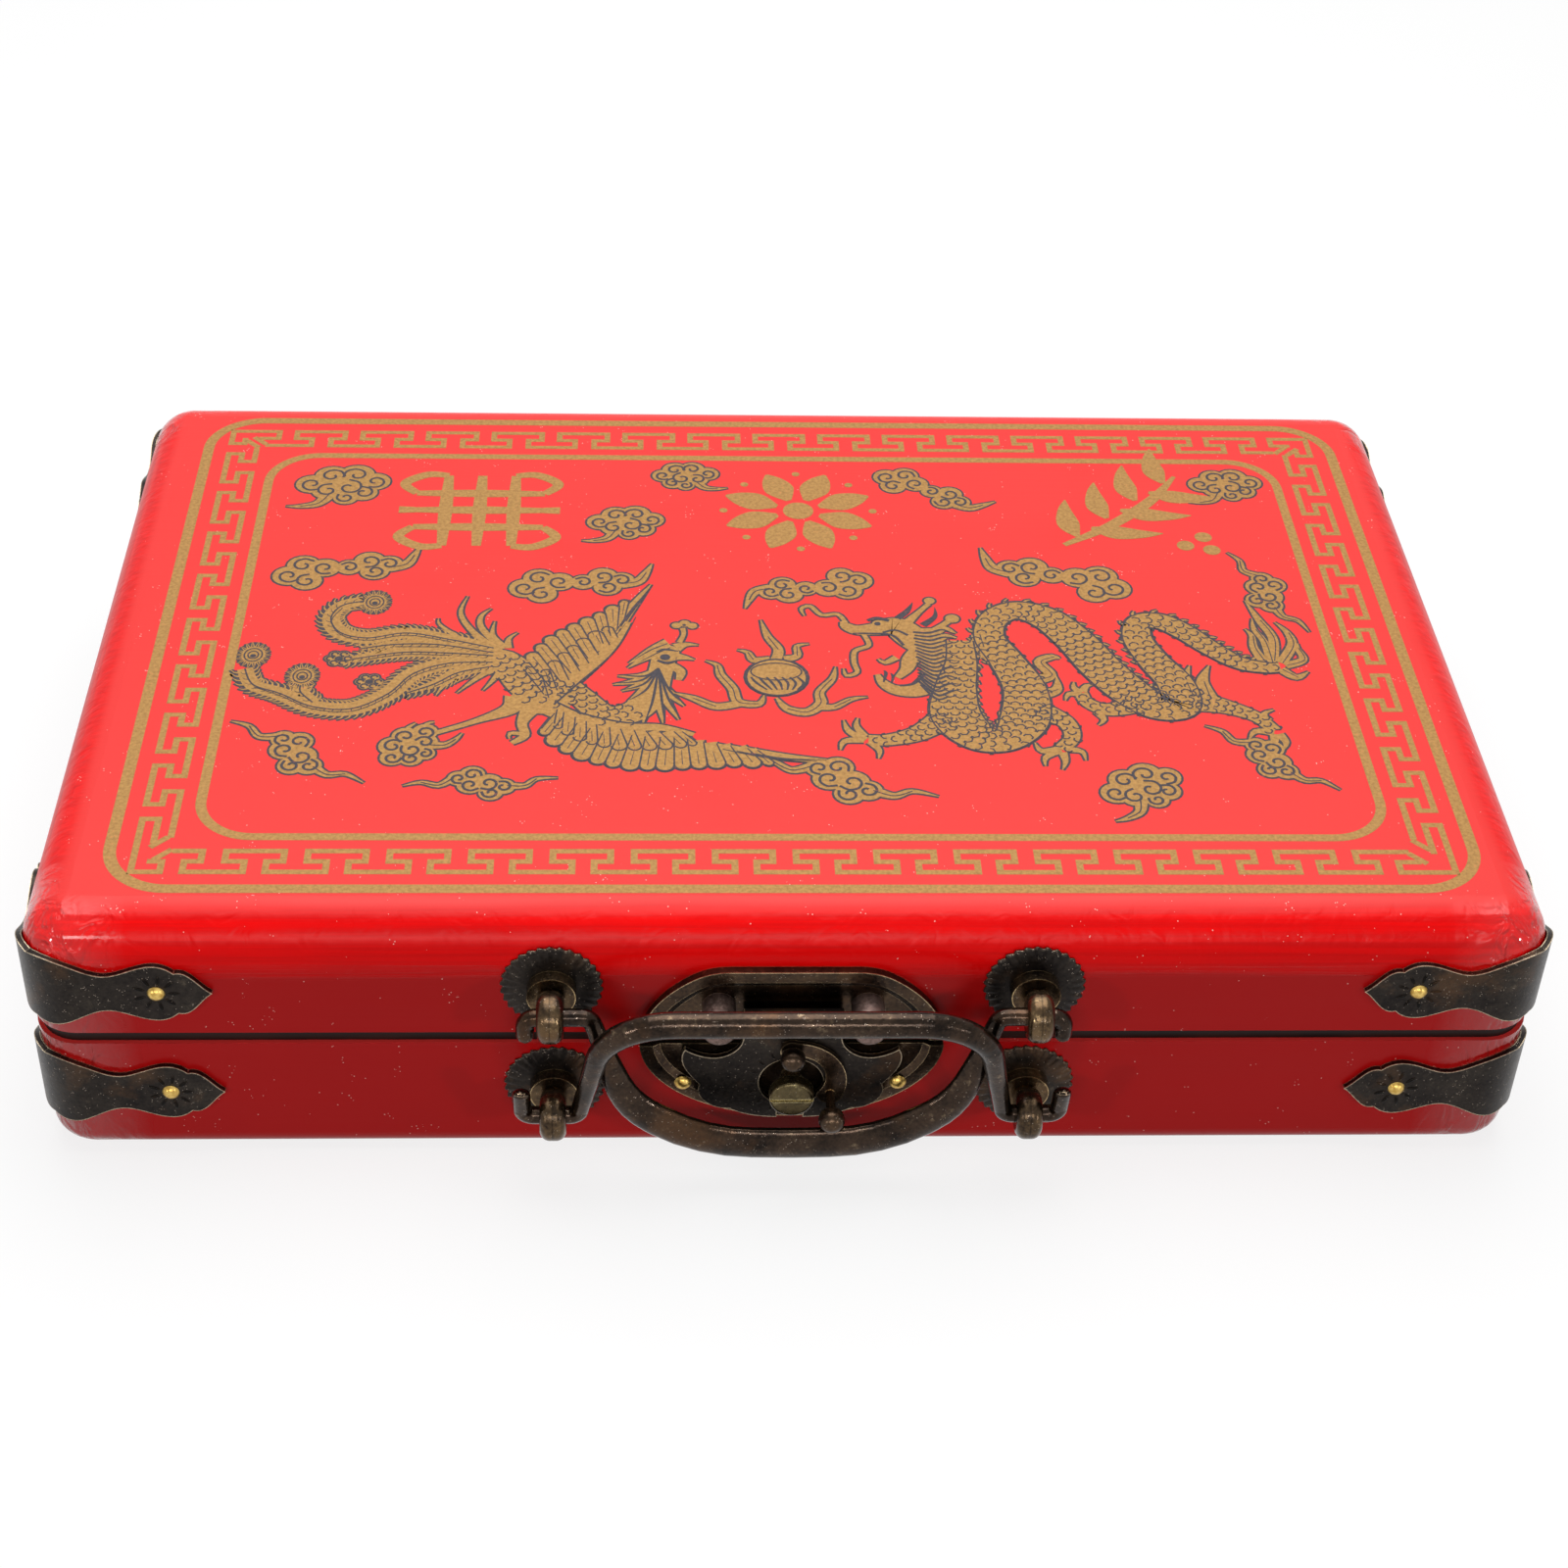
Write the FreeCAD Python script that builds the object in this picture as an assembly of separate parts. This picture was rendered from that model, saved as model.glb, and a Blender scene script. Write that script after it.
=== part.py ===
import FreeCAD, Part
import math
import os

# Clamshell game case with a carrying bail on each half, a hasp lock between
# them and four lift-out tile trays inside.  Millimetres.  The origin is the
# centre of the underside, +X to the right, -Y to the front and +Z up.

V = FreeCAD.Vector

# ---- driving dimensions: the case ----
case_width = 250.0
case_depth = 165.0
base_height = 26.0
lid_height = 24.0
corner_radius = 8.0
lid_edge_radius = 8.0
base_edge_radius = 4.0
covering_thickness = 1.0
rail_thickness = 6.0
base_panel_thickness = 5.0
lid_panel_thickness = 7.5
rim_height = 1.2
rim_inset = 0.8
felt_thickness = 0.8
felt_clearance = 0.3

# ---- trays ----
tray_clearance = 0.6
tray_wall = 2.2
tray_floor = 1.6
tray_corner_radius = 3.0
base_tray_drop = 2.2
lid_tray_rise = 0.7
ribbon_width = 12.0
ribbon_thickness = 0.6
ribbon_drop = 9.0
ribbon_clearance = 0.05

# ---- corner bands ----
band_thickness = 1.0
band_seat = 0.05
band_reach = 31.0
band_nail_inset = 22.0
band_corner_half = 6.0
band_waist_inset = 14.0
band_waist_half = 3.7
band_bulge_half = 5.8
band_shoulder_inset = 25.2
band_shoulder_half = 4.3
band_lobe_step = 1.3
band_lobe_half = 4.3
band_taper_back = 2.9
band_taper_half = 3.1
band_hook_back = 1.3
band_hook_half = 1.2
band_neck_share = 0.82
band_neck_fullness = 0.84
band_crest_share = 0.97
lid_band_rise = 10.8
base_band_drop = 11.4

# ---- round-headed nails ----
nail_head_radius = 1.45
nail_head_height = 0.9
nail_shank_radius = 0.55
nail_hole_clearance = 0.05
nail_grip = 3.0

# ---- handle seats: rosette, collar and eye ----
handle_seat_half_span = 39.4
lid_pivot_rise = 11.6
base_pivot_drop = 10.4
pivot_protrusion = 7.6
rosette_radius = 8.5
rosette_thickness = 0.9
rosette_teeth = 30
rosette_tooth_height = 0.45
collar_radius = 4.0
collar_height = 2.2
eye_outer_radius = 4.3
eye_width = 4.4
eye_rounding = 1.7
eye_shank_radius = 1.5
eye_shank_length = 5.0

# ---- bail handles, drawn in their own plane as (x, distance from the pivot) ----
bail_end_radius = 1.5
base_bar_half_width = 2.2
base_bar_half_thickness = 2.0
lid_bar_half_width = 3.3
lid_bar_half_thickness = 1.6
bail_clearance = 0.08
bail_taper_margin = 14.0
ring_points = 12
ring_turn = 9.0
ring_spacing = 6.0
cap_angles = (25, 50, 70, 84)
base_bail_reach = 28.1
lid_bail_reach = 27.4
base_bail_tip_out = 5.0
base_bail_tip_rise = 6.6
lid_bail_tip_out = 4.1
lid_bail_tip_rise = 3.4
base_bail_rest_angle = 15.0
lid_bail_rest_angle = 177.5
bail_end_bend = 1.9
lid_bail_arm_inset = 6.4
lid_bail_elbow = (27.3, 18.8)
lid_bail_shoulder = (14.8, 27.3)
lid_bail_sag = 0.2
base_bail_arm_inset = 4.1
base_bail_shoulder_inset = 9.4
base_bail_corner_bend = 13.0
lid_bail_elbow_bend = 15.0
lid_bail_shoulder_bend = 28.0
lid_bail_middle_bend = 40.0

# ---- lock plates ----
plate_half_width = 25.2
base_plate_drop = 16.8
lid_plate_rise = 18.5
lid_plate_flat = 15.7
plate_shoulder_share = 0.84
plate_thickness = 1.6
plate_dish_depth = 0.7
plate_rim = 3.4
plate_dish_slope = 1.2
plate_gap = 0.6
plate_nail_x = 18.0
plate_nail_drop = 9.0

# ---- hasp and its hinge posts ----
post_x = 12.2
post_rise = 8.0
post_radius = 2.75
post_tip = 8.0
post_nose_fillet = 0.96
post_spigot_radius = 1.2
pin_protrusion = 4.6
pin_radius = 0.9
pin_clearance = 0.06
post_bore_clearance = 0.02
pin_overhang = 0.6
knuckle_radius = 2.0
knuckle_half_length = 8.2
hasp_back = 2.0
hasp_thickness = 1.0
hasp_hole_radius = 5.4
hasp_hole_rise = 0.4
hasp_slot_half = 2.2
hasp_neck_drop = 4.5
hasp_notch_drop = 9.9
hasp_notch_depth = 1.4
hasp_horn_reach = 5.5
hasp_lobe_half_width = 15.2
hasp_cusp_half_width = 10.3
hasp_tail_drop = 7.7

# ---- stud that the hasp drops over ----
stud_drop = 8.0
stud_neck_radius = 1.6
stud_head_radius = 3.75
stud_head_back = 4.7
stud_head_front = 7.0
stud_head_rounding = 0.7
stud_groove_width = 0.5
stud_groove_depth = 0.35

# ---- crescent latch ----
crescent_pivot_rise = 8.4
crescent_gap = 0.25
crescent_thickness = 0.8
crescent_boss_radius = 2.0
crescent_boss_share = 0.9
crescent_root_drop = 1.2
crescent_end_radius = 2.3
crescent_end_x = 6.5
crescent_end_drop = 1.1
crescent_outer_x = 9.2
crescent_outer_rise = 1.7
crescent_inner_x = 5.7
crescent_inner_rise = 2.5
crescent_root_offset = 0.5
pivot_ball_radius = 2.1
pivot_ball_seat_share = 0.8
knob_radius = 2.2
knob_stem_radius = 0.8
knob_protrusion = 10.3

# ---- back hinges ----
hinge_x = 70.0
hinge_width = 24.0
hinge_leaf_height = 13.0
hinge_leaf_thickness = 0.8
hinge_axis_offset = 2.4
hinge_knuckle_radius = 1.8
hinge_knuckles = 5
hinge_knuckle_gap = 0.25
hinge_pin_radius = 0.8
hinge_bore_clearance = 0.05
hinge_leaf_relief = 1.5
hinge_screw_spacing = 15.0
hinge_screw_height = 8.5
hinge_screw_head_radius = 1.7
hinge_screw_head_height = 0.8
hinge_screw_dome_share = 0.6
hinge_screw_radius = 0.9

# ---- sizes that follow from them ----
split_height = base_height
case_height = base_height + lid_height
lid_band_height = split_height + lid_band_rise
base_band_height = split_height - base_band_drop
lid_pivot_height = split_height + lid_pivot_rise
base_pivot_height = split_height - base_pivot_drop
plate_nail_height = split_height - plate_nail_drop
post_height = split_height + post_rise
stud_height = split_height - stud_drop
hasp_hole_height = stud_height + hasp_hole_rise
crescent_pivot_height = stud_height + crescent_pivot_rise
crescent_end_height = stud_height - crescent_end_drop
crescent_outer_height = stud_height + crescent_outer_rise
crescent_inner_height = stud_height + crescent_inner_rise
half_width = case_width / 2
half_depth = case_depth / 2
cavity_half_width = half_width - covering_thickness - rail_thickness
cavity_half_depth = half_depth - covering_thickness - rail_thickness
base_floor = covering_thickness + base_panel_thickness
lid_ceiling = case_height - covering_thickness - lid_panel_thickness
base_tray_top = split_height - base_tray_drop
lid_tray_bottom = split_height + lid_tray_rise
nail_hole_radius = nail_shank_radius + nail_hole_clearance
hinge_axis_y = half_depth + hinge_axis_offset
hasp_front = hasp_back + hasp_thickness
crescent_back = hasp_front + crescent_gap
crescent_front = crescent_back + crescent_thickness

os.makedirs("parts", exist_ok=True)


def export(name, shape):
    """Write one node and say how many solids it has."""
    shape.exportStep("parts/" + name + ".step")
    print(name, len(shape.Solids), round(shape.Volume, 1))


def block(x0, x1, y0, y1, z0, z1):
    return Part.makeBox(x1 - x0, y1 - y0, z1 - z0, V(x0, y0, z0))


def group(shapes):
    return Part.makeCompound(shapes)


def fuse_all(shapes):
    body = shapes[0]
    if len(shapes) > 1:
        body = body.fuse(shapes[1:])
    return body.removeSplitter()


def front_y(protrusion):
    """Y of a point that stands out of the front face."""
    return -half_depth - protrusion


def front_rod(x, z, start, end, radius):
    """Round rod along Y between two protrusions from the front face."""
    low, high = sorted((start, end))
    return Part.makeCylinder(radius, high - low, V(x, front_y(low), z), V(0, -1, 0))


def front_plate(face, start, end):
    """Extrude an outline drawn in the XZ plane between two protrusions."""
    moved = face.translated(V(0, front_y(start), 0))
    return moved.extrude(V(0, start - end, 0))


def arc_through(a, b, c):
    return Part.Arc(a, b, c).toShape()


def smooth(points):
    curve = Part.BSplineCurve()
    curve.interpolate(points)
    return curve.toShape()


def xz(x, z):
    return V(x, 0, z)


# ---- wooden case with its covering ----

def rounded_body(inset, bottom, top, low_radius, high_radius):
    """Solid rounded box, inset from the outside of the case."""
    body = block(-half_width + inset, half_width - inset, -half_depth + inset, half_depth - inset, bottom,
                 top)
    upright = [e for e in body.Edges if abs(e.tangentAt(e.FirstParameter).z) > 0.9]
    body = body.makeFillet(corner_radius - inset, upright)
    for radius, level in ((low_radius, bottom), (high_radius, top)):
        if radius > 0:
            rim = [e for e in body.Edges
                   if abs(e.BoundBox.ZMin - level) + abs(e.BoundBox.ZMax - level) < 1e-3]
            body = body.makeFillet(radius, rim)
    return body


def cavity(bottom, top):
    return block(-cavity_half_width, cavity_half_width, -cavity_half_depth, cavity_half_depth, bottom, top)


def nail_spots():
    """Places of the band nails as (x, y, z, outward direction)."""
    spots = {"base": [], "lid": []}
    for half, height in (("base", base_band_height), ("lid", lid_band_height)):
        for sx in (-1, 1):
            for sy in (-1, 1):
                x = sx * half_width
                y = sy * half_depth
                spots[half].append((x - sx * band_nail_inset, y, height, V(0, sy, 0)))
                spots[half].append((x, y - sy * band_nail_inset, height, V(sx, 0, 0)))
    return spots


def plate_nail_spots():
    return [(sx * plate_nail_x, -half_depth, plate_nail_height, V(0, -1, 0)) for sx in (-1, 1)]


def hinge_screw_spots(half):
    side = 1 if half == "lid" else -1
    z = split_height + side * hinge_screw_height
    spots = []
    for sx in (-1, 1):
        for across in (-0.5, 0.5):
            x = sx * hinge_x + across * hinge_screw_spacing
            spots.append((x, half_depth, z, V(0, 1, 0)))
    return spots


def drill(spots, radius, depth):
    """Blind holes from the outer surface inwards."""
    holes = []
    for x, y, z, out in spots:
        holes.append(Part.makeCylinder(radius, depth + 0.5, V(x, y, z) + out * 0.5, out * -1))
    return holes


def wall_holes(half):
    """Every hole that the fasteners of one half need in its walls."""
    holes = drill(nail_spots()[half], nail_hole_radius, nail_grip)
    holes += drill(hinge_screw_spots(half), hinge_screw_radius + nail_hole_clearance, nail_grip)
    level = lid_pivot_height if half == "lid" else base_pivot_height
    for sx in (-1, 1):
        x = sx * handle_seat_half_span
        holes.append(front_rod(x, level, 0.5, -eye_shank_length, eye_shank_radius + nail_hole_clearance))
    if half == "base":
        holes += drill(plate_nail_spots(), nail_hole_radius, nail_grip)
        holes.append(front_rod(0, stud_height, 0.5, -nail_grip, stud_neck_radius + nail_hole_clearance))
    else:
        for sx in (-1, 1):
            holes.append(front_rod(sx * post_x, post_height, 0.5, -nail_grip,
                                   post_spigot_radius + nail_hole_clearance))
    return holes


def build_half(half):
    if half == "base":
        low, high = 0.0, split_height - rim_height
        outer = rounded_body(0, 0, high, base_edge_radius, 0)
        inner = rounded_body(covering_thickness, covering_thickness, high,
                             base_edge_radius - covering_thickness, 0)
        hollow = cavity(base_floor, split_height + 1)
        panel_zone = block(-half_width, half_width, -half_depth, half_depth, 0, base_floor)
        rim_low, rim_high = high, split_height
    else:
        low, high = split_height + rim_height, case_height
        outer = rounded_body(0, low, case_height, 0, lid_edge_radius)
        inner = rounded_body(covering_thickness, low, case_height - covering_thickness,
                             0, lid_edge_radius - covering_thickness)
        hollow = cavity(split_height - 1, lid_ceiling)
        panel_zone = block(-half_width, half_width, -half_depth, half_depth, lid_ceiling, case_height)
        rim_low, rim_high = split_height, low
    holes = wall_holes(half)
    covering = outer.cut([inner] + holes)
    panel = inner.common(panel_zone)
    walls = inner.cut([panel_zone, hollow] + holes)
    front = block(-half_width, half_width, -half_depth, -cavity_half_depth, low, high)
    back = block(-half_width, half_width, cavity_half_depth, half_depth, low, high)
    left = block(-half_width, -cavity_half_width, -cavity_half_depth, cavity_half_depth, low, high)
    right = block(cavity_half_width, half_width, -cavity_half_depth, cavity_half_depth, low, high)
    export(half + "_covering", covering)
    export(half + "_panel", panel)
    export(half + "_front_rail", walls.common(front))
    export(half + "_back_rail", walls.common(back))
    export(half + "_left_rail", walls.common(left))
    export(half + "_right_rail", walls.common(right))
    ring = rounded_body(rim_inset, rim_low, rim_high, 0, 0).cut(cavity(rim_low - 1, rim_high + 1))
    export(half + "_rim", ring)


def felt_lining(half):
    reach_x = cavity_half_width - felt_clearance
    reach_y = cavity_half_depth - felt_clearance
    if half == "base":
        z0, z1 = base_floor, split_height - rim_height
        pocket = block(-reach_x + felt_thickness, reach_x - felt_thickness, -reach_y + felt_thickness,
                       reach_y - felt_thickness, z0 + felt_thickness, z1 + 1)
    else:
        z0, z1 = split_height + rim_height, lid_ceiling
        pocket = block(-reach_x + felt_thickness, reach_x - felt_thickness, -reach_y + felt_thickness,
                       reach_y - felt_thickness, z0 - 1, z1 - felt_thickness)
    export(half + "_felt_lining", block(-reach_x, reach_x, -reach_y, reach_y, z0, z1).cut(pocket))


# ---- trays ----

tray_room_x = cavity_half_width - felt_clearance - felt_thickness
tray_room_y = cavity_half_depth - felt_clearance - felt_thickness
tray_outer_width = tray_room_x - 1.5 * tray_clearance
tray_outer_depth = 2 * (tray_room_y - tray_clearance)


def tray(side, half):
    """Open wooden tray; the ones in the lid stand on its ceiling, open downwards."""
    x0 = tray_clearance / 2 if side > 0 else -tray_clearance / 2 - tray_outer_width
    x1 = x0 + tray_outer_width
    y0, y1 = -tray_outer_depth / 2, tray_outer_depth / 2
    if half == "base":
        z0 = base_floor + felt_thickness
        z1 = base_tray_top
        p0, p1 = z0 + tray_floor, z1 + 1
    else:
        z1 = lid_ceiling - felt_thickness
        z0 = lid_tray_bottom
        p0, p1 = z0 - 1, z1 - tray_floor
    outer = block(x0, x1, y0, y1, z0, z1)
    upright = [e for e in outer.Edges if abs(e.tangentAt(e.FirstParameter).z) > 0.9]
    outer = outer.makeFillet(tray_corner_radius, upright)
    return outer.cut(block(x0 + tray_wall, x1 - tray_wall, y0 + tray_wall, y1 - tray_wall, p0, p1))


def ribbon(side, half):
    """Pull ribbon glued down the inside of a tray's front wall and turned over its edge."""
    middle = side * (tray_clearance / 2 + tray_outer_width / 2)
    wall_in = -tray_outer_depth / 2 + tray_wall + ribbon_clearance
    edge = base_tray_top
    toward = 1
    if half == "lid":
        edge = lid_tray_bottom
        toward = -1
    x0, x1 = middle - ribbon_width / 2, middle + ribbon_width / 2
    low, high = sorted((edge - toward * ribbon_drop, edge + toward * (ribbon_thickness + ribbon_clearance)))
    drop = block(x0, x1, wall_in, wall_in + ribbon_thickness, low, high)
    low, high = sorted((edge + toward * ribbon_clearance,
                        edge + toward * (ribbon_thickness + ribbon_clearance)))
    fold = block(x0, x1, -tray_outer_depth / 2, wall_in + ribbon_thickness, low, high)
    return fuse_all([drop, fold])


# ---- corner bands and nails ----

def band_face(height, vertical):
    """Spade-ended outline from the corner inwards, for the corner at +X (or +Y)."""
    lines = []
    for side in (-1, 1):
        stations = ((0.0, band_corner_half), (corner_radius, band_corner_half),
                    (band_waist_inset, band_waist_half),
                    (band_nail_inset * band_neck_share, band_bulge_half * band_neck_fullness),
                    (band_nail_inset * band_crest_share, band_bulge_half),
                    (band_shoulder_inset, band_shoulder_half))
        lines.append([(s, height + side * h) for s, h in stations])
    # the tip starts from a small cusp at the shoulder and ends in a hooked point
    tip = (band_reach, 0.0)
    head = [(band_shoulder_inset, band_shoulder_half),
            (band_shoulder_inset + band_lobe_step, band_lobe_half),
            (band_reach - band_taper_back, band_taper_half),
            (band_reach - band_hook_back, band_hook_half), tip]
    start = -band_thickness - band_seat

    def point(s, z):
        return V(0, half_depth - s, z) if vertical else V(half_width - s, 0, z)

    lower, upper = lines
    edges = [
        Part.LineSegment(point(start, upper[0][1]), point(*upper[0])).toShape(),
        smooth([point(*q) for q in upper]),
        smooth([point(s, height + h) for s, h in head]),
        smooth([point(s, height - h) for s, h in reversed(head)]),
        smooth([point(*q) for q in reversed(lower)]),
        Part.LineSegment(point(*lower[0]), point(start, lower[0][1])).toShape(),
        Part.LineSegment(point(start, lower[0][1]), point(start, upper[0][1])).toShape(),
    ]
    return Part.Face(Part.Wire(edges))


def corner_band(sx, sy, height):
    """One strap folded round an upright corner of the case."""
    low, high = height - 2 * band_corner_half, height + 2 * band_corner_half
    outer = rounded_body(-band_seat - band_thickness, low, high, 0, 0)
    inner = rounded_body(-band_seat, low - 1, high + 1, 0, 0)
    margin = 2.0
    along_y = band_face(height, False).translated(V(0, half_depth - corner_radius, 0))
    along_y = along_y.extrude(V(0, corner_radius + margin, 0))
    along_x = band_face(height, True).translated(V(half_width - corner_radius, 0, 0))
    along_x = along_x.extrude(V(corner_radius + margin, 0, 0))
    band = outer.common(along_y.fuse(along_x)).cut(inner)
    if sx < 0:
        band = band.mirror(V(0, 0, 0), V(1, 0, 0))
    if sy < 0:
        band = band.mirror(V(0, 0, 0), V(0, 1, 0))
    spots = [s for s in nail_spots()["base"] + nail_spots()["lid"]
             if s[0] * sx > 0 and s[1] * sy > 0 and abs(s[2] - height) < 1e-6]
    holes = [Part.makeCylinder(nail_hole_radius, 4, V(x, y, z) - out, out) for x, y, z, out in spots]
    return band.cut(holes).removeSplitter()


def nail(spot, seat):
    """Domed nail whose head sits on a plate of the given thickness."""
    x, y, z, out = spot
    ball = (nail_head_radius ** 2 + nail_head_height ** 2) / (2 * nail_head_height)
    centre = V(0, 0, nail_head_height - ball)
    dome = Part.makeSphere(ball, centre).common(Part.makeCylinder(nail_head_radius, nail_head_height))
    shank = Part.makeCylinder(nail_shank_radius, nail_grip + seat, V(0, 0, -nail_grip - seat))
    body = fuse_all([dome, shank])
    turn = FreeCAD.Rotation(V(0, 0, 1), out)
    body.Placement = FreeCAD.Placement(V(x, y, z) + out * seat, turn)
    return body


# ---- handle seats and bails ----

def rosette(x, z):
    """Thin plate with a toothed edge and a hole for the eye's shank."""
    edges = []
    root = rosette_radius - rosette_tooth_height
    step = 2 * math.pi / rosette_teeth
    for i in range(rosette_teeth):
        a0, a1 = i * step, (i + 1) * step
        start = xz(x + root * math.cos(a0), z + root * math.sin(a0))
        mid = (a0 + a1) / 2
        crest = xz(x + rosette_radius * math.cos(mid), z + rosette_radius * math.sin(mid))
        end = xz(x + root * math.cos(a1), z + root * math.sin(a1))
        edges.append(arc_through(start, crest, end))
    disc = front_plate(Part.Face(Part.Wire(edges)), 0, rosette_thickness)
    return disc.cut(front_rod(x, z, -1, rosette_thickness + 1, eye_shank_radius + nail_hole_clearance))


def handle_eye(x, z):
    """Cotter eye: ring for the bail, collar and shank through the wall."""
    ring = Part.makeCylinder(eye_outer_radius, eye_width,
                             V(x - eye_width / 2, front_y(pivot_protrusion), z), V(1, 0, 0))
    ring = ring.makeFillet(eye_rounding, [e for e in ring.Edges if e.Curve.TypeId == "Part::GeomCircle"])
    collar = front_rod(x, z, rosette_thickness, rosette_thickness + collar_height, collar_radius)
    shank = front_rod(x, z, -eye_shank_length, pivot_protrusion - eye_outer_radius + 1, eye_shank_radius)
    bore = Part.makeCylinder(bail_end_radius + bail_clearance, eye_width + 2,
                             V(x - eye_width / 2 - 1, front_y(pivot_protrusion), z), V(1, 0, 0))
    return fuse_all([ring, collar, shank]).cut(bore)


def rounded_path(points, bends):
    """Straight runs joined by tangent arcs; one bend radius per inner point."""
    edges = []
    last = points[0]
    for i in range(1, len(points) - 1):
        a, b, c = points[i - 1], points[i], points[i + 1]
        u = (a - b).normalize()
        w = (c - b).normalize()
        angle = math.acos(max(-1, min(1, u.dot(w))))
        back = bends[i - 1] / math.tan(angle / 2)
        p, q = b + u * back, b + w * back
        middle = (u + w).normalize()
        centre = b + middle * (bends[i - 1] / math.sin(angle / 2))
        edges.append(Part.LineSegment(last, p).toShape())
        edges.append(arc_through(p, centre - middle * bends[i - 1], q))
        last = q
    edges.append(Part.LineSegment(last, points[-1]).toShape())
    return Part.Wire(edges)


def ring(middle, tangent, across, half_width, half_thickness):
    """Closed oval across a bar, wide in the plane of its bends."""
    wide = tangent.cross(across).normalize()
    points = []
    for i in range(ring_points):
        turn = 2 * math.pi * i / ring_points
        points.append(middle + wide * half_width * math.cos(turn)
                      + across * half_thickness * math.sin(turn))
    curve = Part.BSplineCurve()
    curve.interpolate(points, PeriodicFlag=True)
    return Part.Wire([curve.toShape()])


def end_cap(point, tangent, across, side):
    """Shrinking rings that round off an end of a bar; side -1 is its start, 1 its end."""
    rings = []
    for angle in cap_angles:
        turn = math.radians(angle)
        size = bail_end_radius * math.cos(turn)
        rings.append(ring(point + tangent * side * bail_end_radius * math.sin(turn), tangent, across, size,
                          size))
    return rings


def bail(half_points, bends, angle, pivot_height, bar_half_width, bar_half_thickness):
    """Round wire bent into a bail with an oval bar; the angle is from straight up, outwards."""
    lean = math.radians(angle)

    def place(x, reach):
        return V(x, front_y(pivot_protrusion + reach * math.sin(lean)),
                 pivot_height + reach * math.cos(lean))

    crowned = half_points[-1][0] == 0
    mirrored = half_points[:-1] if crowned else half_points
    left = [place(-x, r) for x, r in half_points]
    right = [place(x, r) for x, r in reversed(mirrored)]
    back = bends[:-1] if crowned else bends
    edges = rounded_path(left + right, bends + list(reversed(back))).OrderedEdges
    across = V(0, -math.cos(lean), math.sin(lean))
    length = sum(edge.Length for edge in edges)
    # the hooked end: tip, bend, run through the eye, bend
    wire_length = sum(edge.Length for edge in edges[:4])
    taper_length = edges[4].Length + bail_taper_margin

    def oval_at(distance):
        from_end = min(distance, length - distance)
        share = max(0.0, min(1.0, (from_end - wire_length) / taper_length))
        share = share * share * (3 - 2 * share)
        return (bail_end_radius + (bar_half_width - bail_end_radius) * share,
                bail_end_radius + (bar_half_thickness - bail_end_radius) * share)

    first = edges[0]
    rings = list(reversed(end_cap(left[0], first.tangentAt(first.FirstParameter), across, -1)))
    passed = 0.0
    for edge in edges:
        turn = 0.0
        if edge.Curve.TypeId == "Part::GeomCircle":
            turn = math.degrees(edge.LastParameter - edge.FirstParameter)
        steps = max(2, math.ceil(turn / ring_turn), math.ceil(edge.Length / ring_spacing))
        for i in range(steps):
            at = edge.FirstParameter + (edge.LastParameter - edge.FirstParameter) * i / steps
            here = passed + edge.Length * i / steps
            rings.append(ring(edge.valueAt(at), edge.tangentAt(at), across, *oval_at(here)))
        passed += edge.Length
    last = edges[-1]
    rings.append(ring(right[-1], last.tangentAt(last.LastParameter), across, bail_end_radius,
                      bail_end_radius))
    rings += end_cap(right[-1], last.tangentAt(last.LastParameter), across, 1)
    return Part.makeLoft(rings, True, True)


base_tip_x = handle_seat_half_span + base_bail_tip_out
lid_tip_x = handle_seat_half_span + lid_bail_tip_out
lid_bail_arm_x = handle_seat_half_span - lid_bail_arm_inset
base_bail_arm_x = handle_seat_half_span - base_bail_arm_inset
base_bail_shoulder_x = handle_seat_half_span - base_bail_shoulder_inset
lid_bail_points = [(lid_tip_x, lid_bail_tip_rise), (lid_tip_x, 0), (lid_bail_arm_x, 0),
                   lid_bail_elbow, lid_bail_shoulder, (0, lid_bail_reach + lid_bail_sag)]
lid_bail_bends = [bail_end_bend, bail_end_bend, lid_bail_elbow_bend, lid_bail_shoulder_bend,
                  lid_bail_middle_bend]
base_bail_points = [(base_tip_x, base_bail_tip_rise), (base_tip_x, 0), (base_bail_arm_x, 0),
                    (base_bail_shoulder_x, base_bail_reach)]
base_bail_bends = [bail_end_bend, bail_end_bend, base_bail_corner_bend]


# ---- lock ----

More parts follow.
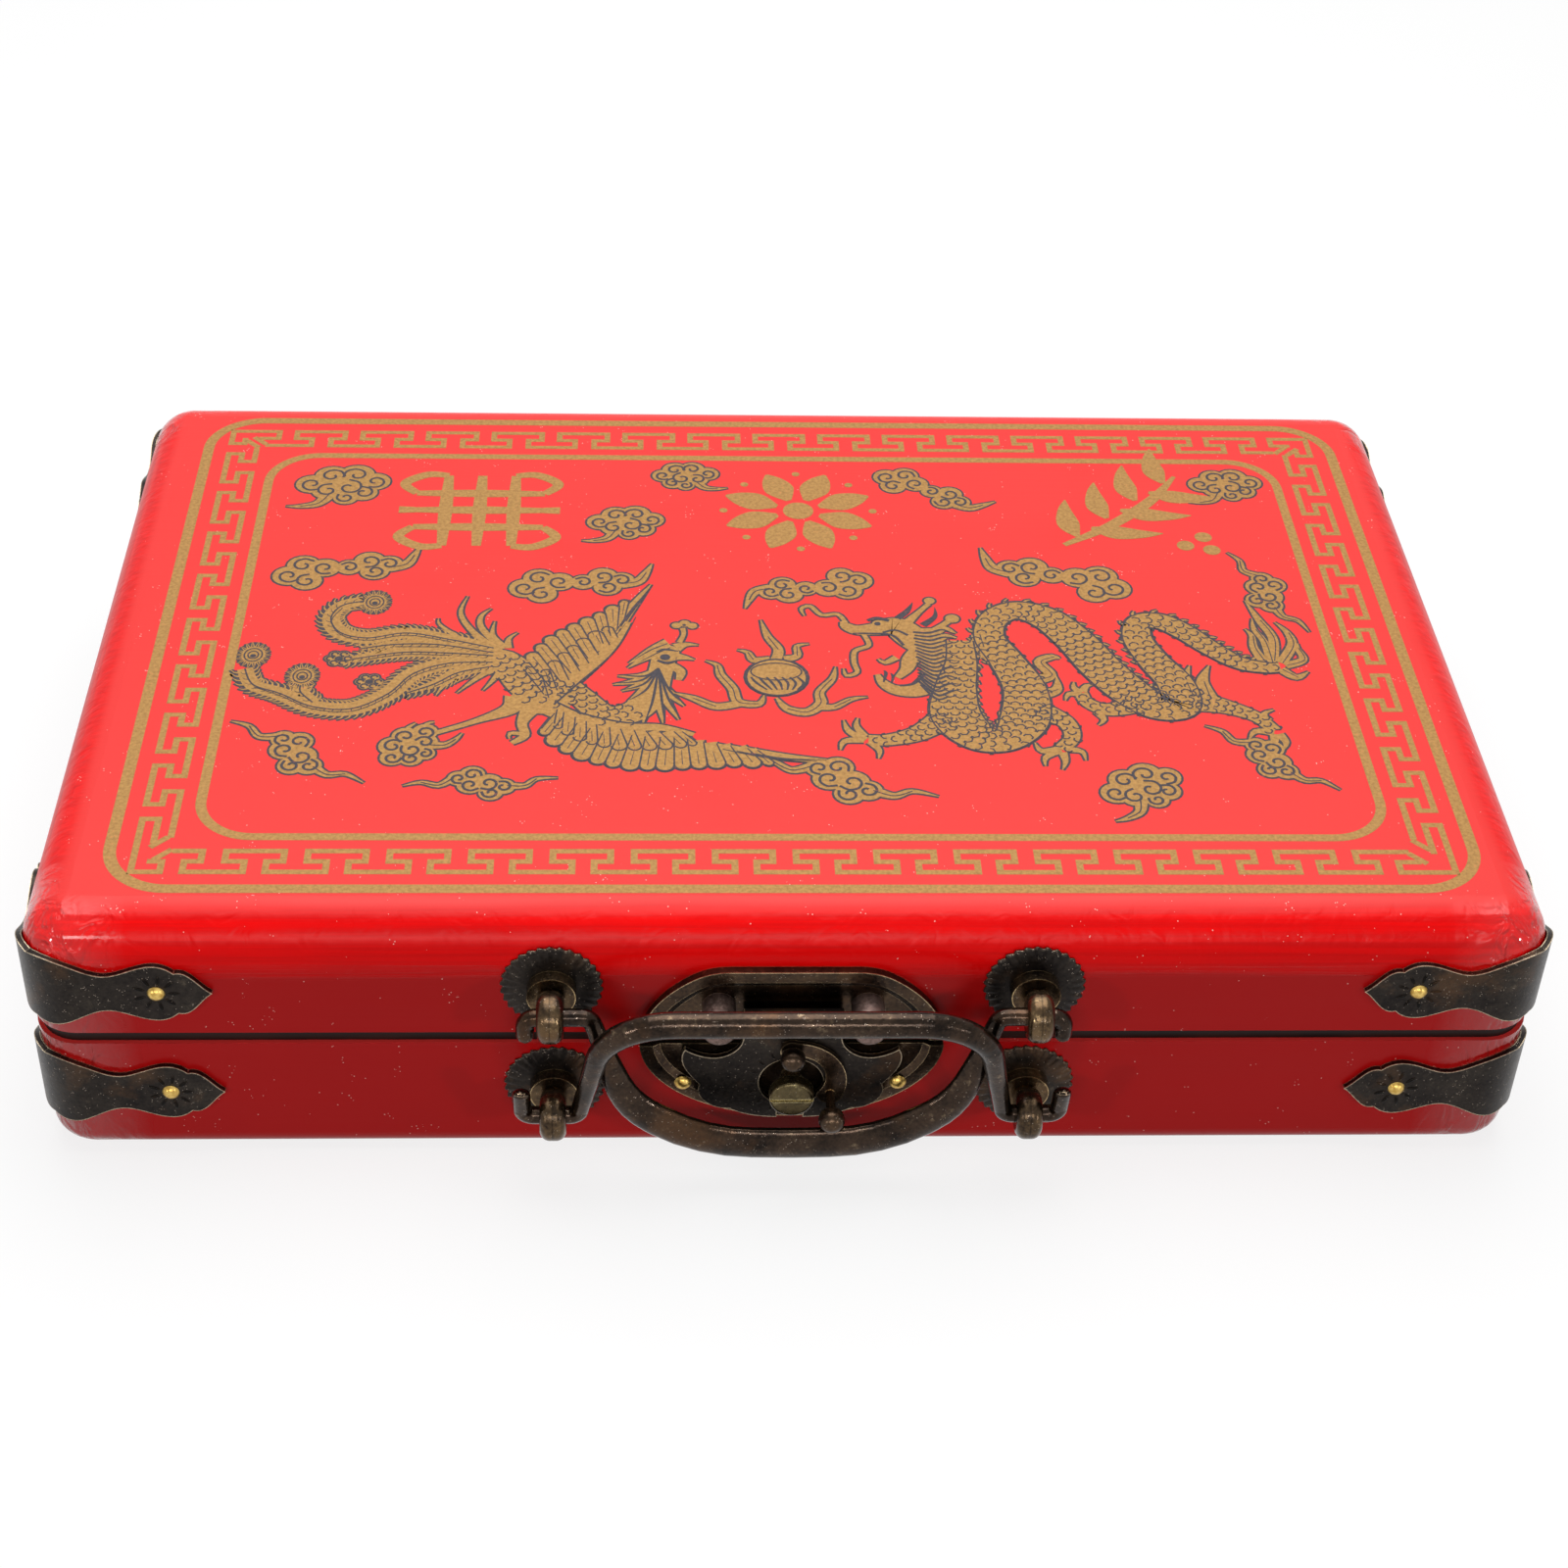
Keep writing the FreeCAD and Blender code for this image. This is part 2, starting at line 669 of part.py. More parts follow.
def plate_face(inset, rise, drop, flat):
    """Oval outline with a flat top that meets the oval in two soft shoulders."""
    a = plate_half_width - inset
    top = flat - inset
    b = rise - inset
    low = drop - inset

    def on(angle, height):
        return xz(a * math.cos(angle), split_height + height * math.sin(angle))

    turn = plate_shoulder_share * math.asin(top / b)
    leave = (a * math.cos(turn), b * math.sin(turn))
    reach = (top - leave[1]) / (b * math.cos(turn))
    meet = leave[0] - a * math.sin(turn) * reach
    flat_end = meet - math.hypot(meet - leave[0], top - leave[1])

    def shoulder(side):
        curve = Part.BezierCurve()
        curve.setPoles([xz(side * leave[0], split_height + leave[1]), xz(side * meet, split_height + top),
                        xz(side * flat_end, split_height + top)])
        return curve.toShape()

    steps = 8
    right = Part.BSplineCurve()
    right.interpolate([on(turn * i / steps, b) for i in range(steps + 1)])
    left = Part.BSplineCurve()
    left.interpolate([on(math.pi - turn * (steps - i) / steps, b) for i in range(steps + 1)])
    under = Part.BSplineCurve()
    under.interpolate([on(math.pi + math.pi * i / (2 * steps), low) for i in range(2 * steps + 1)])
    level = Part.LineSegment(xz(flat_end, split_height + top), xz(-flat_end, split_height + top))
    edges = [right.toShape(), shoulder(1), level.toShape(), shoulder(-1), left.toShape(), under.toShape()]
    return Part.Face(Part.Wire(edges))


def lock_plate(half):
    outline = plate_face(0, lid_plate_rise, base_plate_drop, lid_plate_flat)
    plate = front_plate(outline, 0, plate_thickness)
    # the dish's wall leans out by plate_dish_slope and runs a little past the front
    wires = []
    for share in (0, 1.02):
        inset = plate_rim - share * plate_dish_slope
        dish = plate_face(inset, lid_plate_rise, base_plate_drop, lid_plate_flat)
        level = plate_thickness - plate_dish_depth + share * plate_dish_depth
        wires.append(dish.OuterWire.translated(V(0, front_y(level), 0)))
    plate = plate.cut(Part.makeLoft(wires, True, True))
    reach = 2 * plate_half_width
    if half == "lid":
        keep = block(-reach, reach, front_y(plate_thickness + 1), front_y(-1), split_height + plate_gap,
                     case_height)
        holes = [front_rod(sx * post_x, post_height, -1, plate_thickness,
                           post_spigot_radius + nail_hole_clearance)
                 for sx in (-1, 1)]
    else:
        keep = block(-reach, reach, front_y(plate_thickness + 1), front_y(-1), 0, split_height - plate_gap)
        holes = [front_rod(sx * plate_nail_x, plate_nail_height, -1, plate_thickness + 1, nail_hole_radius)
                 for sx in (-1, 1)]
        holes.append(front_rod(0, stud_height, -1, plate_thickness + 1,
                               stud_neck_radius + nail_hole_clearance))
    return plate.common(keep).cut(holes)


plate_floor = plate_thickness - plate_dish_depth


def hinge_post(sx):
    """Round-nosed post that carries one end of the hasp's pin."""
    x = sx * post_x
    post = front_rod(x, post_height, plate_floor, post_tip, post_radius)
    nose = [e for e in post.Edges if abs(e.BoundBox.YMin - front_y(post_tip)) < 1e-6
            and abs(e.BoundBox.YMax - front_y(post_tip)) < 1e-6]
    post = post.makeFillet(post_nose_fillet, nose)
    spigot = front_rod(x, post_height, -nail_grip, plate_floor + 0.5, post_spigot_radius)
    bore = Part.makeCylinder(pin_radius + post_bore_clearance, 4 * post_radius,
                             V(x - 2 * post_radius, front_y(pin_protrusion), post_height), V(1, 0, 0))
    return fuse_all([post, spigot]).cut(bore)


def hasp_face():
    """Cloud-shaped plate, narrow at its hinge, with horns under the posts."""
    neck = knuckle_half_length
    low = post_height - hasp_notch_drop
    tail = stud_height - hasp_tail_drop
    horn = (post_x + hasp_horn_reach, low + hasp_notch_depth + 0.4)
    waist = (hasp_lobe_half_width, tail + 7.6)
    cusp = (hasp_cusp_half_width, tail + 2.1)
    half = [
        [(neck, post_height), (neck, post_height - hasp_neck_drop)],
        [(neck, post_height - hasp_neck_drop), (neck + 1.1, low + 1.6), (post_x, low),
         (post_x + 3, low + 0.4), horn],
        [horn, (horn[0] + 0.5, horn[1] - 2.3), (horn[0] - 0.4, horn[1] - 5), waist],
        [waist, (waist[0] + 0.2, waist[1] - 1.9), (waist[0] - 1.3, waist[1] - 4.3), cusp],
        [cusp, (cusp[0] - 2.1, cusp[1] - 1.1), (cusp[0] - 4.7, cusp[1] - 1.8), (hasp_slot_half, tail)],
    ]
    edges = []
    for run in half:
        edges.append(smooth([xz(-x, z) for x, z in run]) if len(run) > 2
                     else Part.LineSegment(xz(-run[0][0], run[0][1]), xz(-run[1][0], run[1][1])).toShape())
    last = half[-1][-1]
    edges.append(Part.LineSegment(xz(-last[0], last[1]), xz(last[0], last[1])).toShape())
    for run in reversed(half):
        back = list(reversed(run))
        edges.append(smooth([xz(x, z) for x, z in back]) if len(run) > 2
                     else Part.LineSegment(xz(back[0][0], back[0][1]),
                                           xz(back[1][0], back[1][1])).toShape())
    edges.append(Part.LineSegment(xz(neck, post_height), xz(-neck, post_height)).toShape())
    return Part.Face(Part.Wire(edges))


def hasp():
    leaf = front_plate(hasp_face(), hasp_back, hasp_front)
    hole = front_rod(0, hasp_hole_height, hasp_back - 1, hasp_front + 1, hasp_hole_radius)
    slot = block(-hasp_slot_half, hasp_slot_half, front_y(hasp_front + 1), front_y(hasp_back - 1), 0,
                 hasp_hole_height)
    rivet = front_rod(0, crescent_pivot_height, hasp_back - 1, hasp_front + 1,
                      knob_stem_radius + nail_hole_clearance)
    start = V(-knuckle_half_length, front_y(pin_protrusion), post_height)
    barrel = Part.makeCylinder(knuckle_radius, 2 * knuckle_half_length, start, V(1, 0, 0))
    web = block(-knuckle_half_length, knuckle_half_length, front_y(pin_protrusion), front_y(hasp_back),
                post_height - hasp_thickness, post_height)
    bore = Part.makeCylinder(pin_radius + pin_clearance, 2 * knuckle_half_length + 2, start - V(1, 0, 0),
                             V(1, 0, 0))
    return fuse_all([leaf, barrel, web]).cut([hole, slot, rivet, bore])


def hasp_pin():
    reach = post_x + post_radius + pin_overhang
    return Part.makeCylinder(pin_radius, 2 * reach, V(-reach, front_y(pin_protrusion), post_height),
                             V(1, 0, 0))


def locking_stud():
    neck = front_rod(0, stud_height, -nail_grip, stud_head_back + 0.2, stud_neck_radius)
    head = front_rod(0, stud_height, stud_head_back, stud_head_front, stud_head_radius)
    head = head.makeFillet(stud_head_rounding, [e for e in head.Edges
                                                if e.Curve.TypeId == "Part::GeomCircle"
                           and abs(e.BoundBox.YMin - front_y(stud_head_front)) < 1e-6])
    groove = block(-stud_head_radius - 1, stud_head_radius + 1, front_y(stud_head_front + 1),
                   front_y(stud_head_front - stud_groove_depth),
                   stud_height - stud_groove_width / 2, stud_height + stud_groove_width / 2)
    return fuse_all([neck, head]).cut(groove)


def crescent_latch():
    """Curved tongue that turns on the pivot ball's rivet, with a knob at its free end."""
    pivot = xz(0, crescent_pivot_height)
    inner = arc_through(xz(crescent_boss_radius * crescent_boss_share,
                           crescent_pivot_height - crescent_root_drop),
                        xz(crescent_inner_x, crescent_inner_height),
                        xz(crescent_end_x - crescent_end_radius, crescent_end_height))
    tail = arc_through(xz(crescent_end_x - crescent_end_radius, crescent_end_height),
                       xz(crescent_end_x, crescent_end_height - crescent_end_radius),
                       xz(crescent_end_x + crescent_end_radius, crescent_end_height))
    outer = arc_through(xz(crescent_end_x + crescent_end_radius, crescent_end_height),
                        xz(crescent_outer_x, crescent_outer_height),
                        xz(crescent_root_offset,
                           crescent_pivot_height + crescent_boss_radius * crescent_boss_share))
    root = Part.LineSegment(xz(crescent_root_offset,
                               crescent_pivot_height + crescent_boss_radius * crescent_boss_share),
                            xz(crescent_boss_radius * crescent_boss_share,
                               crescent_pivot_height - crescent_root_drop)).toShape()
    blade = front_plate(Part.Face(Part.Wire([inner, tail, outer, root])), crescent_back, crescent_front)
    boss = front_rod(pivot.x, pivot.z, crescent_back, crescent_front, crescent_boss_radius)
    stem = front_rod(crescent_end_x, crescent_end_height, crescent_back, knob_protrusion, knob_stem_radius)
    knob = Part.makeSphere(knob_radius, V(crescent_end_x, front_y(knob_protrusion), crescent_end_height))
    bore = front_rod(pivot.x, pivot.z, crescent_back - 1, crescent_front + 1,
                     knob_stem_radius + nail_hole_clearance)
    return fuse_all([blade, boss, stem, knob]).cut(bore)


def pivot_ball():
    """Ball-headed rivet that the crescent turns on."""
    seat = crescent_front + crescent_gap / 2
    ball = Part.makeSphere(pivot_ball_radius, V(0,
                                                front_y(seat + pivot_ball_radius * pivot_ball_seat_share),
                                                crescent_pivot_height))
    ball = ball.common(block(-5, 5, front_y(seat + 2 * pivot_ball_radius), front_y(seat),
                             crescent_pivot_height - 5, crescent_pivot_height + 5))
    rivet = front_rod(0, crescent_pivot_height, hasp_back, seat + 0.5, knob_stem_radius)
    return fuse_all([ball, rivet])


# ---- back hinges ----

def knuckle_span(index):
    pitch = hinge_width / hinge_knuckles
    start = -hinge_width / 2 + index * pitch
    return start + hinge_knuckle_gap / 2, start + pitch - hinge_knuckle_gap / 2


def hinge_leaf(half):
    """Leaf screwed to the back face, with its share of the knuckles."""
    side = 1 if half == "lid" else -1
    own = range(1, hinge_knuckles, 2) if half == "lid" else range(0, hinge_knuckles, 2)
    z0, z1 = sorted((split_height + side * hinge_leaf_relief, split_height + side * hinge_leaf_height))
    leaf = block(-hinge_width / 2, hinge_width / 2, half_depth, half_depth + hinge_leaf_thickness, z0, z1)
    parts = [leaf]
    for index in own:
        x0, x1 = knuckle_span(index)
        parts.append(Part.makeCylinder(hinge_knuckle_radius, x1 - x0, V(x0, hinge_axis_y, split_height),
                                       V(1, 0, 0)))
        w0, w1 = sorted((split_height, split_height + side * (hinge_leaf_relief + 1)))
        parts.append(block(x0, x1, half_depth, half_depth + hinge_leaf_thickness, w0, w1))
    body = fuse_all(parts)
    bore = Part.makeCylinder(hinge_pin_radius + hinge_bore_clearance, hinge_width + 4,
                             V(-hinge_width / 2 - 2, hinge_axis_y, split_height), V(1, 0, 0))
    leaves = []
    for sx in (-1, 1):
        placed = body.cut(bore).translated(V(sx * hinge_x, 0, 0))
        holes = [Part.makeCylinder(hinge_screw_radius + nail_hole_clearance, 4, V(x, y - 1, z), out)
                 for x, y, z, out in hinge_screw_spots(half)]
        leaves.append(placed.cut(holes))
    return group(leaves)


def hinge_pins():
    return group([Part.makeCylinder(hinge_pin_radius, hinge_width + 1,
                                    V(sx * hinge_x - hinge_width / 2 - 0.5, hinge_axis_y,
                                      split_height), V(1, 0, 0))
                  for sx in (-1, 1)])


def hinge_screws(half):
    screws = []
    for x, y, z, out in hinge_screw_spots(half):
        head = Part.makeCylinder(hinge_screw_head_radius, hinge_screw_head_height,
                                 V(x, y + hinge_leaf_thickness, z), out)
        head = head.makeFillet(hinge_screw_head_height * hinge_screw_dome_share,
                               [e for e in head.Edges if e.Curve.TypeId == "Part::GeomCircle"
                                and e.BoundBox.YMax > y + hinge_leaf_thickness
                                + hinge_screw_head_height - 1e-6])
        shank = Part.makeCylinder(hinge_screw_radius, nail_grip + hinge_leaf_thickness + 0.2,
                                  V(x, y - nail_grip, z), out)
        screws.append(fuse_all([head, shank]))
    return group(screws)


# ---- build ----

for half in ("base", "lid"):
    build_half(half)
    felt_lining(half)
    export(half + "_left_tray", tray(-1, half))
    export(half + "_right_tray", tray(1, half))
    export(half + "_tray_ribbons", group([ribbon(-1, half), ribbon(1, half)]))

for half, level in (("base", base_band_height), ("lid", lid_band_height)):
    for sx, sy, corner in ((-1, -1, "front_left"), (1, -1, "front_right"), (-1, 1, "rear_left"),
                           (1, 1, "rear_right")):
        export(half + "_" + corner + "_band", corner_band(sx, sy, level))
    export(half + "_band_nails", group([nail(s, band_seat + band_thickness) for s in nail_spots()[half]]))

for half, level in (("base", base_pivot_height), ("lid", lid_pivot_height)):
    for sx, side in ((-1, "left"), (1, "right")):
        x = sx * handle_seat_half_span
        export(half + "_" + side + "_rosette", rosette(x, level))
        export(half + "_" + side + "_handle_eye", handle_eye(x, level))

export("base_handle", bail(base_bail_points, base_bail_bends, base_bail_rest_angle, base_pivot_height,
                           base_bar_half_width, base_bar_half_thickness))
export("lid_handle", bail(lid_bail_points, lid_bail_bends, lid_bail_rest_angle, lid_pivot_height,
                          lid_bar_half_width, lid_bar_half_thickness))

export("base_lock_plate", lock_plate("base"))
export("lid_lock_plate", lock_plate("lid"))
export("lock_plate_nails", group([nail(s, plate_thickness) for s in plate_nail_spots()]))
export("hasp_posts", group([hinge_post(-1), hinge_post(1)]))
export("hasp_pin", hasp_pin())
export("hasp", hasp())
export("locking_stud", locking_stud())
export("crescent_latch", crescent_latch())
export("crescent_pivot", pivot_ball())

for half in ("base", "lid"):
    export(half + "_hinge_leaves", hinge_leaf(half))
    export(half + "_hinge_screws", hinge_screws(half))
export("hinge_pins", hinge_pins())
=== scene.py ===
import math

import bmesh
import bpy
from mathutils import Matrix, Vector


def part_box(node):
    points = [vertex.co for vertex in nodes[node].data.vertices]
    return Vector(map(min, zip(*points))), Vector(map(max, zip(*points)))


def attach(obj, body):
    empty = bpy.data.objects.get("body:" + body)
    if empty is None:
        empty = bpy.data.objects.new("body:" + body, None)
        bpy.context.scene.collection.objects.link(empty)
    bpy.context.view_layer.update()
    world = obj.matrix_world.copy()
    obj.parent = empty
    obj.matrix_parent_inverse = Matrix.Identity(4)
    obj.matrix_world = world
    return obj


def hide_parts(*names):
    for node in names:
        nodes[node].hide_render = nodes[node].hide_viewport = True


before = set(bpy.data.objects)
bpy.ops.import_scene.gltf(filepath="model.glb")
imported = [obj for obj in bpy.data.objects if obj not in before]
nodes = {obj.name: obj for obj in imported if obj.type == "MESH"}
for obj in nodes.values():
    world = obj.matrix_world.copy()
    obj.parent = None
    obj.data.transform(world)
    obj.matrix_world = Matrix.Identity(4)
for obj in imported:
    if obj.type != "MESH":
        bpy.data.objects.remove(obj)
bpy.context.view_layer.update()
mm = 0.001
print("frame loaded:", len(nodes), "nodes")


# 0 to 255 screen values as a linear colour
def paint(red, green, blue):
    def linear(value):
        value /= 255
        return value / 12.92 if value <= 0.04045 else ((value + 0.055) / 1.055) ** 2.4
    return (linear(red), linear(green), linear(blue), 1.0)


def feed(tree, socket, value):
    if isinstance(value, bpy.types.NodeSocket):
        tree.links.new(value, socket)
    else:
        socket.default_value = value


# sets or links inputs by name, with _ for a space
def wire(tree, made, **inputs):
    for name, value in inputs.items():
        feed(tree, made.inputs[name.replace("_", " ")], value)
    return made


def makeNode(tree, kind, **inputs):
    return wire(tree, tree.nodes.new("ShaderNode" + kind), **inputs)


def startMaterial(name, **inputs):
    material = bpy.data.materials.new(name)
    material.use_nodes = True
    tree = material.node_tree
    tree.nodes.clear()
    shader = makeNode(tree, "BsdfPrincipled", **inputs)
    makeNode(tree, "OutputMaterial", Surface=shader.outputs["BSDF"])
    return material, tree, shader


def objectCoords(tree, scale=(1, 1, 1)):
    coords = makeNode(tree, "TexCoord").outputs["Object"]
    return makeNode(tree, "Mapping", Vector=coords, Scale=scale).outputs["Vector"]


def noise(tree, scale, detail=4.0, roughness=0.55, distortion=0.0, coords=None):
    coords = objectCoords(tree) if coords is None else coords
    return makeNode(tree, "TexNoise", Vector=coords, Scale=scale, Detail=detail, Roughness=roughness,
                    Distortion=distortion).outputs["Fac"]


def cells(tree, scale):
    return makeNode(tree, "TexVoronoi", Vector=objectCoords(tree), Scale=scale).outputs["Distance"]


def ramp(tree, factor, stops):
    made = makeNode(tree, "ValToRGB", Fac=factor)
    while len(made.color_ramp.elements) < len(stops):
        made.color_ramp.elements.new(0.5)
    for element, (at, value) in zip(made.color_ramp.elements, stops):
        element.position = at
        element.color = value if hasattr(value, "__len__") else (value, value, value, 1)
    return made.outputs["Color"]


def mixColours(tree, factor, first, second):
    made = makeNode(tree, "Mix")
    made.data_type = "RGBA"
    for index, value in ((0, factor), (6, first), (7, second)):
        feed(tree, made.inputs[index], value)
    return made.outputs[2]


def calc(tree, operation, *values):
    made = makeNode(tree, "Math")
    made.operation = operation
    for socket, value in zip(made.inputs, values + (0.0, 0.0)):
        feed(tree, socket, value)
    return made.outputs[0]


def times(tree, first, second):
    return calc(tree, "MULTIPLY", first, second)


def minus(tree, first, second):
    return calc(tree, "SUBTRACT", first, second)


def bump(tree, height, strength, distance, normal=None):
    made = makeNode(tree, "Bump", Height=height, Strength=strength, Distance=distance)
    if normal is not None:
        wire(tree, made, Normal=normal)
    return made.outputs["Normal"]


# 1 on sharp edges, 0 on flats: how far the rounded normal turns away
def edgeWear(tree, radius, low, high):
    rounded = makeNode(tree, "Bevel", Radius=radius)
    rounded.samples = 6
    same = makeNode(tree, "VectorMath")
    same.operation = "DOT_PRODUCT"
    tree.links.new(rounded.outputs["Normal"], same.inputs[0])
    tree.links.new(makeNode(tree, "NewGeometry").outputs["Normal"], same.inputs[1])
    return ramp(tree, minus(tree, 1.0, same.outputs["Value"]), [(low, 0), (high, 1)])


# the three parts of a vector
def splitVector(tree, vector):
    return makeNode(tree, "SeparateXYZ", Vector=vector).outputs


# size of one part of the surface normal, 0 to 1
def normalPart(tree, axis):
    normal = makeNode(tree, "NewGeometry").outputs["Normal"]
    return calc(tree, "ABSOLUTE", splitVector(tree, normal)[axis])


def makeRedCovering():
    # one red covering painted in three tones by facing: a lighter pinkish top as a painted sheen, a brighter
    # rounded edge as painted light and darker upright sides as painted shade
    look = {"top": paint(234, 60, 57), "side": paint(188, 14, 15), "roll": paint(248, 4, 5),
            "deep": paint(164, 4, 8), "dust": paint(248, 200, 190), "streakShare": 0.3, "deepShare": 0.18,
            "dustShare": 0.75, "roughness": 0.32, "cornerCoat": 0.65, "creaseShare": 0.1,
            "rollStart": 0.0392, "cornerX": 0.107, "cornerY": 0.0645}
    material, tree, shader = startMaterial("red_covering", Specular_IOR_Level=0.14)
    cloudy = noise(tree, 22, 3)
    brushX = noise(tree, 1.0, 5, 0.6, coords=objectCoords(tree, (14, 900, 900)))
    brushY = noise(tree, 1.0, 5, 0.6, coords=objectCoords(tree, (900, 14, 900)))
    endFaces = ramp(tree, normalPart(tree, 0), [(0.45, 0), (0.7, 1)])
    brush = mixColours(tree, endFaces, brushX, brushY)
    place = splitVector(tree, objectCoords(tree))
    # the rounded upper edge is a deeper, streaky red, painted brighter than the upright sides as painted
    # light where the edge turns up towards the lamps
    ragged = calc(tree, "MULTIPLY_ADD", minus(tree, brush, 0.5), 0.006, place[2])
    roll = ramp(tree, times(tree, minus(tree, ragged, look["rollStart"]), 400), [(0.0, 0), (1.0, 1)])
    flat = ramp(tree, calc(tree, "MULTIPLY_ADD", cloudy, 0.05, minus(tree, normalPart(tree, 2), 0.025)),
                [(0.86, 0), (0.95, 0.35), (0.995, 1)])
    # painted light and shade: darker red on the upright sides, brighter red on the rounded edge
    colour = mixColours(tree, roll, look["side"], look["roll"])
    streaks = times(tree, ramp(tree, brush, [(0.44, 0), (0.64, 1)]), times(tree, roll, look["streakShare"]))
    colour = mixColours(tree, streaks, colour, look["deep"])
    faint = times(tree, ramp(tree, cloudy, [(0.35, 0), (0.7, 1)]), look["deepShare"])
    colour = mixColours(tree, faint, colour, look["deep"])
    # painted sheen: the flat top is painted a lighter, pinkish red
    colour = mixColours(tree, flat, colour, look["top"])
    dots = cells(tree, 1500)
    rare = noise(tree, 330, 2)
    dust = times(tree, calc(tree, "LESS_THAN", dots, 0.17), calc(tree, "GREATER_THAN", rare, 0.645))
    colour = mixColours(tree, times(tree, dust, look["dustShare"]), colour, look["dust"])
    wire(tree, shader, Base_Color=colour)
    # the covering is drawn into small glossy folds over the upright corners
    near = []
    for axis, start in enumerate((look["cornerX"], look["cornerY"])):
        beyond = minus(tree, calc(tree, "ABSOLUTE", place[axis]), start)
        near.append(ramp(tree, times(tree, beyond, 100), [(0, 0), (0.9, 1)]))
    corner = times(tree, times(tree, *near), minus(tree, 1.0, flat))
    rough = calc(tree, "MULTIPLY_ADD", brush, 0.12, look["roughness"] - 0.06)
    rough = calc(tree, "MULTIPLY_ADD", corner, -0.18, rough)
    wire(tree, shader, Roughness=rough, Coat_Weight=times(tree, corner, look["cornerCoat"]),
         Coat_Roughness=0.06)
    curved = times(tree, roll, minus(tree, 1.0, flat))
    creased = calc(tree, "MAXIMUM", corner, times(tree, curved, look["creaseShare"]))
    folds = times(tree, noise(tree, 230, 2, 0.5, 1.2, objectCoords(tree, (1, 1, 0.45))), creased)
    grain = noise(tree, 1500, 2)
    normal = bump(tree, folds, 0.9, 0.0022)
    normal = bump(tree, brush, 0.10, 0.0002, normal)
    wire(tree, shader, Normal=bump(tree, grain, 0.05, 0.0001, normal))
    return material


def makeLacquer():
    material, tree, shader = startMaterial("black_lacquer", Specular_IOR_Level=0.16)
    wear = noise(tree, 1.0, 5, coords=objectCoords(tree, (60, 60, 300)))
    wire(tree, shader, Base_Color=ramp(tree, wear, [(0.3, paint(14, 9, 8)), (0.75, paint(46, 22, 18))]))
    wire(tree, shader, Roughness=calc(tree, "MULTIPLY_ADD", wear, 0.3, 0.3))
    wire(tree, shader, Normal=bump(tree, noise(tree, 700, 3), 0.15, 0.0002))
    return material


# the share of worn patches, the least roughness and what the grain adds to it
bronzeLooks = {
    "aged_bronze": {"dark": (27, 23, 22), "light": (52, 46, 41), "worn": (214, 194, 164),
                    "wornShare": 0.10, "gloss": 0.24, "grain": 0.26},
    "plate_bronze": {"dark": (34, 27, 24), "light": (84, 66, 50), "worn": (206, 180, 140),
                     "wornShare": 0.30, "gloss": 0.14, "grain": 0.2},
    "handle_bronze": {"dark": (30, 25, 22), "light": (68, 54, 44), "worn": (204, 178, 142),
                      "wornShare": 0.30, "gloss": 0.09, "grain": 0.16},
    "eye_bronze": {"dark": (40, 32, 27), "light": (104, 84, 60), "worn": (220, 190, 140),
                   "wornShare": 0.55, "gloss": 0.14, "grain": 0.2},
    "post_bronze": {"dark": (84, 68, 62), "light": (158, 132, 124), "worn": (214, 196, 180),
                    "wornShare": 0.45, "gloss": 0.34, "grain": 0.26},
    # painted shade: punch_shade colours raised petals near black to stand for shade in punched hollows
    "punch_shade": {"dark": (12, 10, 9), "light": (22, 18, 16), "worn": (60, 52, 44),
                    "wornShare": 0.1, "gloss": 0.4, "grain": 0.3},
    "stud_brass": {"dark": (54, 46, 32), "light": (92, 80, 54), "worn": (206, 190, 140),
                   "wornShare": 0.5, "gloss": 0.16, "grain": 0.24},
}


